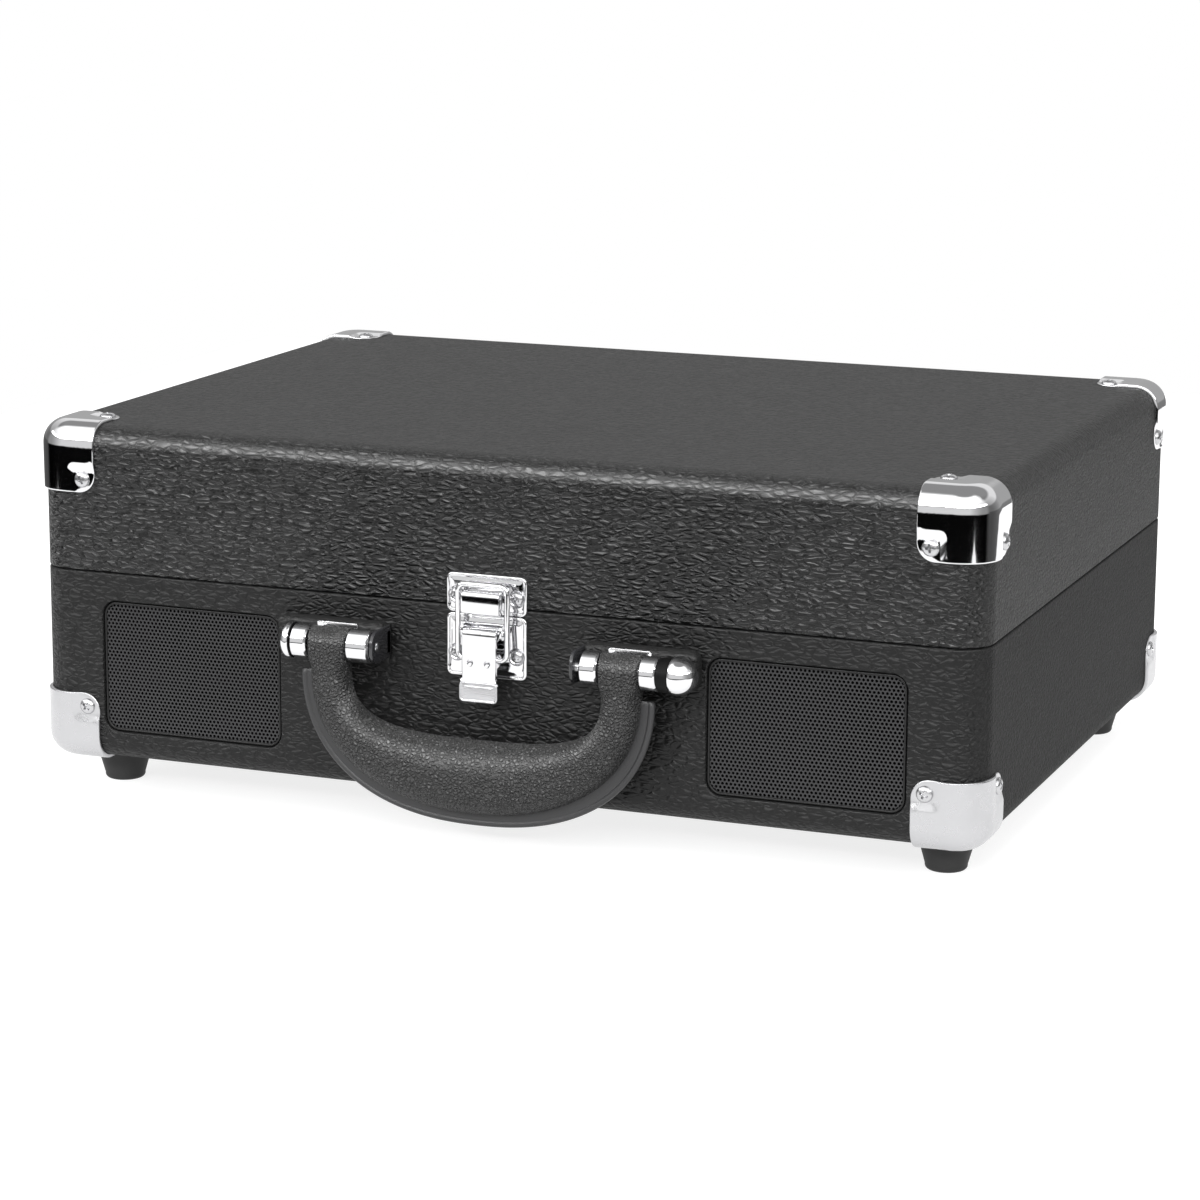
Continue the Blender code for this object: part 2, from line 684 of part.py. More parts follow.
def hinges(lid):
    """A butt hinge near each end of the back: the base leaf holds the pin, the lid leaf the middle knuckle."""
    plate_low = HALF_DEPTH + GAP
    plate_high = plate_low + METAL
    clear = KNUCKLE_RADIUS + GAP
    third = HINGE_HALF_LENGTH / 3
    for side, label in ((-1, "left"), (1, "right")):
        x = side * HINGE_X
        low = x - HINGE_HALF_LENGTH
        high = x + HINGE_HALF_LENGTH
        leaf = round_box((low, plate_low, LEAF_LOW), (high, plate_high, HINGE_Z), 1, 0.0012, 2)
        base_leaf = add_mesh(f"hinge_base_{label}", leaf, STEEL)
        notch = box((x - third - GAP, 0.12, HINGE_Z - clear), (x + third + GAP, 0.14, 0.1))
        modify(base_leaf, "DIFFERENCE", add_mesh(f"hinge_base_notch_{label}", notch, None))
        for place, end in ((-1, "a"), (1, "b")):
            centre = (x + place * 2 * third + place * GAP / 2, HINGE_Y, HINGE_Z)
            knuckle = cylinder(centre, KNUCKLE_RADIUS, 2 * third - GAP, 0, 12)
            modify(base_leaf, "UNION", add_mesh(f"hinge_base_knuckle_{label}_{end}", knuckle, None))
        pin = cylinder((x, HINGE_Y, HINGE_Z), HINGE_PIN_RADIUS, 2 * HINGE_HALF_LENGTH - 0.002, 0, 10)
        modify(base_leaf, "UNION", add_mesh(f"hinge_pin_{label}", pin, None))

        leaf = round_box((low, plate_low, HINGE_Z), (high, plate_high, LEAF_HIGH), 1, 0.0012, 2)
        lid_leaf = add_mesh(f"hinge_lid_{label}", leaf, STEEL, lid)
        for place, end in ((-1, "a"), (1, "b")):
            edge = x + place * (third - GAP / 2)
            span = sorted((edge, edge + place * 0.02))
            notch = box((span[0], 0.12, 0.07), (span[1], 0.14, HINGE_Z + clear))
            modify(lid_leaf, "DIFFERENCE", add_mesh(f"hinge_lid_notch_{label}_{end}", notch, None, lid))
        knuckle = cylinder((x, HINGE_Y, HINGE_Z), KNUCKLE_RADIUS, 2 * third - GAP, 0, 12)
        modify(lid_leaf, "UNION", add_mesh(f"hinge_lid_knuckle_{label}", knuckle, None, lid))
        bore = cylinder((x, HINGE_Y, HINGE_Z), HINGE_PIN_RADIUS + GAP, 0.02, 0, 10)
        modify(lid_leaf, "DIFFERENCE", add_mesh(f"hinge_lid_bore_{label}", bore, None, lid))


def back_sockets():
    """A plate screwed inside the back wall, with a power socket and a pair of line-out sockets through it."""
    x, half_x, z, half_z = JACK_WINDOW
    wall = HALF_DEPTH - BASE_WALL
    lip = 0.003
    plate = round_box(
        (x - half_x - lip, wall - GAP - 0.0015, z - half_z - lip),
        (x + half_x + lip, wall - GAP, z + half_z + lip),
        1,
        0.002,
        2,
    )
    panel = add_mesh("rear_jack_panel", plate, PLASTIC)
    power_x = x + 0.015
    line_x = (x - 0.014, x)
    power_radius = 0.0052
    line_radius = 0.0042
    for place, radius, label in (
        (power_x, power_radius, "power"),
        (line_x[0], line_radius, "line_a"),
        (line_x[1], line_radius, "line_b"),
    ):
        hole = cylinder((place, wall, z), radius + GAP, 0.02, 1, 16)
        modify(panel, "DIFFERENCE", add_mesh(f"{label}_hole", hole, None))
    front = wall + 0.006
    back = wall - 0.012
    socket = [
        (power_radius, front),
        (power_radius, back),
        (0, back),
        (0, front - 0.001),
        (0.0009, front - 0.001),
        (0.0009, front - 0.008),
        (0.0030, front - 0.008),
        (0.0030, front),
    ]
    turned("power_socket", socket, (power_x, 0, z), PLASTIC, 1, steps=16)
    carrier_low = wall - 0.012
    carrier = box(
        (line_x[0] - 0.006, carrier_low, z - 0.007), (line_x[1] + 0.006, wall - 0.0021 - GAP, z + 0.007)
    )
    sockets = add_mesh("line_out_sockets", carrier, CHROME)
    length = 0.013
    for place, label in zip(line_x, "ab"):
        centre = (place, wall - 0.004 + length / 2, z)
        barrel = cylinder(centre, line_radius, length, 1, 16)
        modify(sockets, "UNION", add_mesh(f"line_barrel_{label}", barrel, None))
        bore = cylinder((place, wall + 0.004 + length / 2, z), 0.0016, length, 1, 12)
        modify(sockets, "DIFFERENCE", add_mesh(f"line_bore_{label}", bore, None))


def belt_outline(extra, steps=28):
    """The line round the platter's drive ring and the motor pulley, a distance outside both."""
    spindle = Vector(SPINDLE)
    towards = Vector((math.cos(PULLEY_ANGLE), math.sin(PULLEY_ANGLE)))
    pulley = spindle + towards * PULLEY_DISTANCE
    lean = math.acos((DRIVE_RING_RADIUS - PULLEY_RADIUS) / PULLEY_DISTANCE)
    points = []
    for centre, radius, start, sweep, count in (
        (spindle, DRIVE_RING_RADIUS + extra, lean, 2 * (math.pi - lean), steps),
        (pulley, PULLEY_RADIUS + extra, -lean, 2 * lean, 6),
    ):
        for i in range(count + 1):
            angle = PULLEY_ANGLE + start + sweep * i / count
            points.append((centre.x + radius * math.cos(angle), centre.y + radius * math.sin(angle)))
    return points


def deck_and_drive(platter_pivot, pulley_pivot):
    """The moulded deck, the platter turning on a fixed spindle, its mat, and the belt drive under it."""
    edge = 0.0003
    plate = box(
        (edge - LEDGE_HALF_WIDTH, edge - LEDGE_HALF_DEPTH, DECK_BOTTOM),
        (LEDGE_HALF_WIDTH - edge, LEDGE_HALF_DEPTH - edge, DECK_TOP),
    )
    deck = add_mesh("deck_plate", plate, PLASTIC)
    pulley_x = SPINDLE[0] + PULLEY_DISTANCE * math.cos(PULLEY_ANGLE)
    pulley_y = SPINDLE[1] + PULLEY_DISTANCE * math.sin(PULLEY_ANGLE)
    stem = lift_stem()
    round_holes = (
        ("spindle", *SPINDLE, SPINDLE_RADIUS + GAP),
        ("pulley", pulley_x, pulley_y, 0.009),
        ("volume", *VOLUME_AT, 0.0034),
        ("mode", *MODE_AT, 0.0034),
        ("headphone", *HEADPHONE_AT, 0.0043),
        ("lift", *stem, 0.0018),
    )
    for label, x, y, radius in round_holes:
        hole = cylinder((x, y, DECK_TOP), radius, 0.02, 2, 16)
        modify(deck, "DIFFERENCE", add_mesh(f"{label}_hole_in_deck", hole, None))
    for label, (x, y), travel in (("speed", SPEED_AT, SPEED_TRAVEL), ("autostop", AUTOSTOP_AT, AUTOSTOP_TRAVEL)):
        slot = box((x - 0.0015, y - 0.0015, 0.07), (x + travel + 0.0015, y + 0.0015, 0.08))
        modify(deck, "DIFFERENCE", add_mesh(f"{label}_slot_in_deck", slot, None))

    spindle = [
        (0, SPINDLE_TOP),
        (0.0018, SPINDLE_TOP - 0.0008),
        (SPINDLE_RADIUS, SPINDLE_TOP - 0.004),
        (SPINDLE_RADIUS, DECK_TOP + 0.0013),
        (0.009, DECK_TOP + 0.0013),
        (0.009, DECK_TOP + GAP),
        (SPINDLE_RADIUS, DECK_TOP + GAP),
        (SPINDLE_RADIUS, 0.066),
        (0, 0.066),
    ]
    turned("spindle_shaft", spindle, (*SPINDLE, 0), STEEL, steps=16)
    bore = SPINDLE_RADIUS + GAP
    underside = 0.0826
    platter = [
        (bore, PLATTER_TOP),
        (PLATTER_RADIUS, PLATTER_TOP),
        (PLATTER_RADIUS, PLATTER_TOP - 0.0045),
        (PLATTER_RADIUS - 0.003, PLATTER_TOP - 0.0045),
        (PLATTER_RADIUS - 0.003, underside),
        (DRIVE_RING_RADIUS, underside),
        (DRIVE_RING_RADIUS, 0.0787),
        (DRIVE_RING_RADIUS - 0.003, 0.0787),
        (DRIVE_RING_RADIUS - 0.003, underside),
        (0.012, underside),
        (0.009, 0.0787),
        (bore, 0.0787),
    ]
    turned("platter", platter, (*SPINDLE, 0), STEEL, pivot=platter_pivot, steps=40)
    mat = [
        (bore, MAT_TOP),
        (MAT_RADIUS - 0.0006, MAT_TOP),
        (MAT_RADIUS, MAT_TOP - 0.0006),
        (MAT_RADIUS, PLATTER_TOP + GAP),
        (bore, PLATTER_TOP + GAP),
    ]
    turned("slipmat", mat, (*SPINDLE, 0), FELT, pivot=platter_pivot, steps=40)

    shaft = 0.001
    flange = PULLEY_RADIUS + 0.0009
    pulley = [
        (0, underside - GAP),
        (flange, underside - GAP),
        (flange, BELT_HIGH + GAP),
        (PULLEY_RADIUS, BELT_HIGH + GAP),
        (PULLEY_RADIUS, BELT_LOW - GAP),
        (flange, BELT_LOW - GAP),
        (flange, 0.0780),
        (shaft, 0.0780),
        (shaft, 0.060),
        (0, 0.060),
    ]
    turned("motor_pulley", pulley, (pulley_x, pulley_y, 0), SHINY, pivot=pulley_pivot, steps=16)
    motor_top = DECK_BOTTOM - GAP
    motor = [
        (shaft + GAP, motor_top),
        (MOTOR_RADIUS, motor_top),
        (MOTOR_RADIUS, 0.046),
        (0.006, 0.046),
        (0.006, 0.043),
        (0, 0.043),
        (0, 0.0585),
        (shaft + GAP, 0.0585),
    ]
    turned("motor", motor, (pulley_x, pulley_y, 0), STEEL, steps=20)
    loops = (belt_outline(GAP + BELT_THICKNESS), belt_outline(GAP))
    outline("drive_belt", loops, BELT_LOW, BELT_HIGH, 2, RUBBER)

    board = box((0.070, -0.080, 0.050), (0.160, -0.012, 0.0516))
    circuit = add_mesh("circuit_board", board, BOARD)
    sink = box((0.084, -0.070, 0.051), (0.110, -0.058, 0.068))
    modify(circuit, "UNION", add_mesh("heat_sink", sink, None))


def lift_stem():
    """Where the cueing platform's stem goes down through the deck, in the middle of its arc."""
    angle = math.radians(25)
    return (
        ARM_PIVOT[0] - LIFT_BAR_RADIUS * math.sin(angle),
        ARM_PIVOT[1] - LIFT_BAR_RADIUS * math.cos(angle),
    )


def tonearm(gimbal_pivot, arm_pivot, cue_pivot, bar_pivot, clip_pivot):
    """A pedestal, a fork turning on it, the arm with its headshell, cartridge, rest, clip and cueing lift."""
    x, y = ARM_PIVOT
    pedestal = [
        (0, 0.0874),
        (0.0065, 0.0874),
        (0.0075, 0.0840),
        (0.0150, 0.0836),
        (0.0165, 0.0820),
        (0.0165, DECK_TOP + GAP),
        (0, DECK_TOP + GAP),
    ]
    base = turned("tonearm_base", pedestal, (x, y, 0), PLASTIC, steps=24)
    cue_y, cue_z = CUE_AXIS
    lug = box((x + 0.009, cue_y - 0.004, DECK_TOP + GAP), (CUE_X - 0.0045, cue_y + 0.004, cue_z + 0.003))
    modify(base, "UNION", add_mesh("cue_lug", lug, None))
    pin = cylinder((CUE_X - 0.001, cue_y, cue_z), 0.0012, 0.009, 0, 10)
    modify(base, "UNION", add_mesh("cue_pin", pin, None))

    fork = cylinder((x, y, 0.0887), 0.0115, 0.002, 2, 20)
    gimbal = add_mesh("tonearm_gimbal", fork, SHINY, gimbal_pivot)
    for side, label in ((-1, "left"), (1, "right")):
        near, far = sorted((side * 0.0072, side * 0.0098))
        cheek = round_box((x + near, y - 0.0042, 0.089), (x + far, y + 0.0042, ARM_Z + 0.0045), 0, 0.003, 3)
        modify(gimbal, "UNION", add_mesh(f"fork_cheek_{label}", cheek, None, gimbal_pivot))
    hole = cylinder((x, y, ARM_Z), 0.0015 + GAP, 0.03, 0, 10)
    modify(gimbal, "DIFFERENCE", add_mesh("fork_bore", hole, None, gimbal_pivot))

    end = y - ARM_LENGTH
    shell_end = end - 0.008
    tube_front = end + 0.022
    tube_back = y + 0.0145
    tube = cylinder((x, (tube_front + tube_back) / 2, ARM_Z), ARM_RADIUS, tube_back - tube_front, 1, 14)
    arm = add_mesh("tonearm_tube", tube, SHINY, arm_pivot, smooth=True)
    weight = cylinder((x, y + 0.0200, ARM_Z), 0.0068, 0.012, 1, 18)
    modify(arm, "UNION", add_mesh("arm_counterweight", weight, None, arm_pivot))
    pin = cylinder((x, y, ARM_Z), 0.0015, 0.0194, 0, 10)
    modify(arm, "UNION", add_mesh("arm_trunnion", pin, None, arm_pivot))
    shell = box((x - 0.0075, shell_end, ARM_Z - 0.0015), (x + 0.0075, tube_front + 0.004, ARM_Z + 0.0035))
    bevel(shell, along(1), 0.0012, 2)
    modify(arm, "UNION", add_mesh("headshell", shell, None, arm_pivot))
    finger = box((x + 0.007, end + 0.002, ARM_Z - 0.001), (x + 0.014, end + 0.006, ARM_Z + 0.0005))
    modify(arm, "UNION", add_mesh("finger_lift", finger, None, arm_pivot))
    body = box((x - 0.005, end - 0.004, ARM_Z - 0.0062), (x + 0.005, end + 0.014, ARM_Z - 0.0015 - GAP))
    bevel(body, at_level(2, ARM_Z - 0.0062), 0.001, 2)
    add_mesh("cartridge", body, PLASTIC, arm_pivot)

    first = math.radians(-12)
    last = math.radians(62)
    steps = 8
    half = 0.002
    arc = []
    for radius, order in ((LIFT_BAR_RADIUS + half, range(steps + 1)), (LIFT_BAR_RADIUS - half, range(steps, -1, -1))):
        for i in order:
            angle = first + (last - first) * i / steps
            arc.append((x - radius * math.sin(angle), y - radius * math.cos(angle)))
    bar = outline("cue_lift_bar", (arc,), 0.0918, 0.0934, 2, SHINY, bar_pivot)
    stem = cylinder((*lift_stem(), 0.081), 0.0014, 0.0222, 2, 10)
    modify(bar, "UNION", add_mesh("lift_stem", stem, None, bar_pivot))

    hub = cylinder((CUE_X, cue_y, cue_z), 0.0034, 0.004, 0, 16)
    lever = add_mesh("cue_lever", hub, SHINY, cue_pivot)
    reach = box((CUE_X - 0.002, cue_y - 0.026, cue_z - 0.0012), (CUE_X + 0.002, cue_y - 0.002, cue_z + 0.0012))
    modify(lever, "UNION", add_mesh("cue_reach", reach, None, cue_pivot))
    bore = cylinder((CUE_X, cue_y, cue_z), 0.0012 + GAP, 0.01, 0, 10)
    modify(lever, "DIFFERENCE", add_mesh("cue_bore", bore, None, cue_pivot))

    shelf_top = ARM_Z - ARM_RADIUS - GAP
    foot = cylinder((x + 0.002, REST_Y, DECK_TOP + GAP + 0.0015), 0.0075, 0.003, 2, 16)
    rest = add_mesh("tonearm_rest", foot, PLASTIC)
    post = box((x - 0.003, REST_Y - 0.004, DECK_TOP + 0.002), (x + 0.0072, REST_Y + 0.004, shelf_top))
    modify(rest, "UNION", add_mesh("rest_post", post, None))
    hinge_x, hinge_z = CLIP_AXIS
    wall = box((x + ARM_RADIUS + 2 * GAP, REST_Y - 0.004, 0.090), (x + 0.0072, REST_Y + 0.004, hinge_z - 0.0018))
    modify(rest, "UNION", add_mesh("rest_wall", wall, None))

    closed = box((-0.0142, REST_Y - 0.003, -0.0010), (0.0008, REST_Y + 0.003, 0.0010))
    bmesh.ops.rotate(closed, cent=(0, 0, 0), matrix=Matrix.Rotation(CLIP_OPEN, 3, "Y"), verts=closed.verts)
    bmesh.ops.translate(closed, vec=(hinge_x, 0, hinge_z), verts=closed.verts)
    clip = add_mesh("tonearm_clip", closed, PLASTIC, clip_pivot)
    hook = box((-0.0142, REST_Y - 0.003, -0.0026), (-0.0128, REST_Y + 0.003, 0))
    bmesh.ops.rotate(hook, cent=(0, 0, 0), matrix=Matrix.Rotation(CLIP_OPEN, 3, "Y"), verts=hook.verts)
    bmesh.ops.translate(hook, vec=(hinge_x, 0, hinge_z), verts=hook.verts)
    modify(clip, "UNION", add_mesh("clip_hook", hook, None, clip_pivot))


def controls(pivots):
    """Two knobs, two sliding switches, the headphone socket and the stored adapter for large-hole records."""
    for name, (x, y) in (("volume_knob", VOLUME_AT), ("mode_knob", MODE_AT)):
        profile = [
            (0, 0.0885),
            (KNOB_RADIUS - 0.0012, 0.0885),
            (KNOB_RADIUS - 0.0004, 0.0880),
            (KNOB_RADIUS, DECK_TOP + 0.0010),
            (0.0030, DECK_TOP + 0.0010),
            (0.0030, 0.068),
            (0, 0.068),
        ]
        turned(name, profile, (x, y, 0), CHROME, pivot=pivots[name], steps=20)
    for name, (x, y) in (("speed_lever", SPEED_AT), ("autostop_switch", AUTOSTOP_AT)):
        cap = box((x - 0.0025, y - 0.004, DECK_TOP + 0.0004), (x + 0.0025, y + 0.004, DECK_TOP + 0.0052))
        bevel(cap, at_level(2, DECK_TOP + 0.0052), 0.0010, 2)
        lever = add_mesh(name, cap, SHINY, pivots[name])
        stem = box((x - 0.0010, y - 0.0010, 0.071), (x + 0.0010, y + 0.0010, DECK_TOP + 0.001))
        modify(lever, "UNION", add_mesh(f"{name}_stem", stem, None, pivots[name]))
    socket = [
        (0.0060, DECK_TOP + 0.0018),
        (0.0064, DECK_TOP + GAP),
        (0.0040, DECK_TOP + GAP),
        (0.0040, 0.062),
        (0, 0.062),
        (0, 0.0635),
        (0.0018, 0.0635),
        (0.0018, DECK_TOP + 0.0018),
    ]
    turned("headphone_socket", socket, (*HEADPHONE_AT, 0), STEEL, steps=16)
    low = DECK_TOP + GAP
    adapter = [
        (SPINDLE_RADIUS + 0.0002, low + 0.0045),
        (0.0100, low + 0.0045),
        (0.0120, low + 0.0034),
        (ADAPTER_RADIUS - 0.0006, low + 0.0034),
        (ADAPTER_RADIUS, low + 0.0028),
        (ADAPTER_RADIUS, low),
        (SPINDLE_RADIUS + 0.0002, low),
    ]
    turned("adapter_45", adapter, (*ADAPTER_AT, 0), PLASTIC, pivot=pivots["adapter_45"], steps=24)


def main():
    lid = add_empty("lid_pivot", (0, HINGE_Y, HINGE_Z), ROOT)
    handle = add_empty("handle_pivot_axis", (0, HANDLE_Y, HANDLE_Z), ROOT)
    lever = add_empty("latch_lever_axis", (0, *LEVER_AXIS), ROOT)
    loop = add_empty("latch_loop_axis", (0, *LOOP_AXIS), lever)
    platter = add_empty("platter_axis", (*SPINDLE, 0), ROOT)
    pulley_x = SPINDLE[0] + PULLEY_DISTANCE * math.cos(PULLEY_ANGLE)
    pulley_y = SPINDLE[1] + PULLEY_DISTANCE * math.sin(PULLEY_ANGLE)
    pulley = add_empty("pulley_axis", (pulley_x, pulley_y, 0), ROOT)
    gimbal = add_empty("tonearm_swing_axis", (*ARM_PIVOT, ARM_Z), ROOT)
    arm = add_empty("tonearm_lift_axis", (*ARM_PIVOT, ARM_Z), gimbal)
    cue = add_empty("cue_lever_axis", (CUE_X, *CUE_AXIS), ROOT)
    bar = add_empty("lift_bar_axis", (*lift_stem(), 0.092), ROOT)
    clip = add_empty("clip_axis", (CLIP_AXIS[0], REST_Y, CLIP_AXIS[1]), ROOT)
    places = {
        "volume_knob": VOLUME_AT,
        "mode_knob": MODE_AT,
        "speed_lever": SPEED_AT,
        "autostop_switch": AUTOSTOP_AT,
        "adapter_45": ADAPTER_AT,
    }
    pivots = {name: add_empty(f"{name}_axis", (*place, DECK_TOP), ROOT) for name, place in places.items()}

    case_shells(lid)
    corner_protectors(lid)
    feet()
    speakers()
    handle_mounts()
    grip(handle)
    latch(lid, lever, loop)
    hinges(lid)
    back_sockets()
    deck_and_drive(platter, pulley)
    tonearm(gimbal, arm, cue, bar, clip)
    controls(pivots)


main()
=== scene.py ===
"""The looks of a suitcase record player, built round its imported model.

Pieces are drawn in case coordinates, in metres: the case's centre is at x = 0, y = 0, its front faces -Y and
the floor is z = 0. add_piece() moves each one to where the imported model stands. The main sizes are read from
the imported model's boxes, and those below repeat the ones that a box doesn't give.
"""

import json
import math

import bmesh
import bpy
from mathutils import Matrix, Vector


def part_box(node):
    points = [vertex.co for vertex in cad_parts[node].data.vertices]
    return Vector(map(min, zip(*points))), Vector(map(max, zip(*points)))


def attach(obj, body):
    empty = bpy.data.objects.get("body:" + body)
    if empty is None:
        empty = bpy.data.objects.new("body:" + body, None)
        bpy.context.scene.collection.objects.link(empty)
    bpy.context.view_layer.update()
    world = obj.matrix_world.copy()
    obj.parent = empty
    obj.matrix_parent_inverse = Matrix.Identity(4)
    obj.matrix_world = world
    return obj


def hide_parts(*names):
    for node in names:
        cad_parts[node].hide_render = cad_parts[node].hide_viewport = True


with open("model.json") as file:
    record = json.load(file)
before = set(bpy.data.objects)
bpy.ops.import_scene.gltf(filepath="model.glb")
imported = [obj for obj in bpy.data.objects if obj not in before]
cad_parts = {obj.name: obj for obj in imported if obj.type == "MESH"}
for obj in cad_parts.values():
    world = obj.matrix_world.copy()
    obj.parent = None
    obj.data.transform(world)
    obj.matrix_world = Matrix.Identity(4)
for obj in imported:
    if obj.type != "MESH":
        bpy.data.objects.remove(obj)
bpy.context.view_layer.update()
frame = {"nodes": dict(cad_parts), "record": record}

BASE_LOW, BASE_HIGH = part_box("base_shell")
LID_LOW, LID_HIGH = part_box("lid_shell")
SHIFT = Vector((0, (BASE_LOW.y + BASE_HIGH.y) / 2, 0))


def local_box(node):
    """A CAD node's lowest and highest corners in case coordinates."""
    low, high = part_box(node)
    return low - SHIFT, high - SHIFT


SIDES = ((-1, "left"), (1, "right"))
ENDS = ((-1, "front"), (1, "back"))

# Case
HALF_WIDTH = BASE_HIGH.x
HALF_DEPTH = (BASE_HIGH.y - BASE_LOW.y) / 2
BASE_BOTTOM = BASE_LOW.z
BASE_TOP = BASE_HIGH.z
LID_BOTTOM = LID_LOW.z
LID_TOP = LID_HIGH.z
SIDE_RADIUS = 0.012
RIM_RADIUS = 0.008
SEAM_RADIUS = 0.0007
WALL = 0.006
LEDGE_INSET = 0.0055
LEDGE = local_box("deck_plate")[0].z - 0.0003
CAVITY_INSET = 0.009

# Metal corners
CORNER_REACH = 0.0243
CORNER_ROUND = 0.0065
CORNER_PROUD = local_box("corner_lid_front_right")[1].x - HALF_WIDTH
PAD_PROUD = 0.00045
PAD_SIZE = 0.0102
PAD_SLOPE = 0.0023
PAD_ROUND = 0.0030
SCREW_INSET = 0.0194

# Handle
HANDLE_Y = -0.142
HANDLE_Z = 0.0683
HANDLE_PIN = (0, HANDLE_Y, HANDLE_Z)
GRIP_SPRING_Z = 0.060
GRIP_OUTER = (0.0612, 0.0473)
GRIP_INNER = (0.0474, 0.0214)
GRIP_OUTER_POWER = 2.2
GRIP_INNER_POWER = 3.2
GRIP_HALF_DEPTH = 0.0095
GRIP_EYE_RADIUS = 0.0058
GRIP_END = (0.0471, 0.0614)
WELT_OUTER = (0.0662, 0.0520)
WELT_POWER = 2.3
WELT_Y = -0.141
BARREL_RADIUS = 0.0060
CAP_RADIUS = 0.0066
COLLAR_END = 0.0681
CAPS = {"left": (0.0382, 0.0688, 0.0044), "right": (0.0404, 0.0728, 0.0088)}

# Latch
LATCH_HALF_WIDTH = 0.015
LATCH_PLATE_LOW = 0.0585
LATCH_SPLIT = 0.0808
LATCH_PLATE_HIGH = 0.0950
LATCH_FACE = -0.1315
LATCH_SCREWS_Z = (0.0872, 0.0668)
KEEPER_HALF_WIDTH = 0.0070
KEEPER_FRONT = -0.1375
LEVER_HALF_WIDTH = 0.0063
LEVER_FRONT = -0.1386
LEVER_AXIS = (-0.1346, 0.0756)
LOOP_AXIS = (-0.1350, 0.0658)
LOOP_TOP = 0.0920
LOOP_HALF_WIDTH = 0.0092

# Hinges
HINGE_BOX = local_box("hinge_base_right")
HINGE_X = (HINGE_BOX[0].x + HINGE_BOX[1].x) / 2
HINGE_Y = 0.1333
HINGE_Z = 0.0833
HINGE_KNUCKLE = 0.0026

# Deck, platter and tonearm
DECK_TOP = local_box("deck_plate")[1].z
DECK_SEAT = DECK_TOP + 0.0003
DECK_CUT = (0.07, 0.08)
DECK_ROUND = 0.0062
SPINDLE = (-0.040, 0.004)
PULLEY = (-0.098024, 0.0375)
PLATTER_RADIUS = 0.096
PLATTER_TOP = 0.085
MAT_RADIUS = 0.094
MAT_TOP = 0.0873
ARM_PIVOT = (0.120, 0.075)
ARM_Z = 0.098
ARM_LENGTH = 0.188
ARM_RADIUS = 0.004
LIFT_BAR_RADIUS = 0.030
LIFT_TURN = math.radians(25)
LIFT_STEM_X = ARM_PIVOT[0] - LIFT_BAR_RADIUS * math.sin(LIFT_TURN)
LIFT_STEM = (LIFT_STEM_X, ARM_PIVOT[1] - LIFT_BAR_RADIUS * math.cos(LIFT_TURN))
REST_Y = -0.035
CUE_X = 0.140
CUE_AXIS = (0.062, 0.0845)
CLIP_AXIS = (0.1262, 0.1042)

# Controls
VOLUME = (0.152, -0.045)
MODE = (0.152, -0.078)
KNOB_RADIUS = 0.0085
SPEED = (0.072, 0.112)
AUTOSTOP = (0.028, 0.114)
HEADPHONE = (-0.150, -0.102)
ADAPTER = (-0.148, 0.098)
ADAPTER_RADIUS = 0.019

# Grilles
GRILLE_PITCH = 0.00152
GRILLE_HOLE = 0.00058
GRILLE_RADIUS = 0.0055
POCKET_DEPTH = 0.0022
SPEAKER_HOLE = 0.0215

# ---------------------------------------------------------------- shapes


def box(low, high):
    """A plain block between two corners."""
    bm = bmesh.new()
    bmesh.ops.create_cube(bm, size=1)
    low = Vector(low)
    high = Vector(high)
    bmesh.ops.scale(bm, vec=high - low, verts=bm.verts)
    bmesh.ops.translate(bm, vec=(low + high) / 2, verts=bm.verts)
    return bm


def round_edges(bm, edges, radius, segments):
    """Rounds edges to a radius."""
    bmesh.ops.bevel(
        bm, geom=edges, offset=radius, offset_type="OFFSET", segments=segments, profile=0.5, affect="EDGES"
    )
    return bm


def bevel(bm, radius, segments, wanted):
    """Rounds the edges whose two ends pass a test."""
    edges = [edge for edge in bm.edges if wanted(*(vert.co for vert in edge.verts))]
    return round_edges(bm, edges, radius, segments)


def along(axis):
    """A test for the edges that run along one axis."""
    others = [i for i in range(3) if i != axis]
    return lambda a, b: all(abs(a[i] - b[i]) < 1e-7 for i in others)


def soft_box(low, high, axis, radius, edge):
    """A box with the four edges along one axis rounded, and a small round on all the rest."""
    bm = bevel(box(low, high), radius, 6, along(axis))
    if edge:
        round_edges(bm, [e for e in bm.edges if e.calc_face_angle(0) > 0.6], edge, 2)
    return bm


def skin(rings, cyclic=False):
    """Skins a row of closed rings. A ring of one point is a pole. Open ends are capped."""
    bm = bmesh.new()
    rows = [[bm.verts.new(point) for point in ring] for ring in rings]
    pairs = list(zip(rows, rows[1:]))
    if cyclic:
        pairs.append((rows[-1], rows[0]))
    for first, second in pairs:
        count = max(len(first), len(second))
        for i in range(count):
            j = (i + 1) % count
            if len(first) == 1:
                bm.faces.new((first[0], second[j], second[i]))
            elif len(second) == 1:
                bm.faces.new((first[i], first[j], second[0]))
            else:
                bm.faces.new((first[i], first[j], second[j], second[i]))
    if not cyclic:
        if len(rows[0]) > 1:
            bm.faces.new(reversed(rows[0]))
        if len(rows[-1]) > 1:
            bm.faces.new(rows[-1])
    return bm


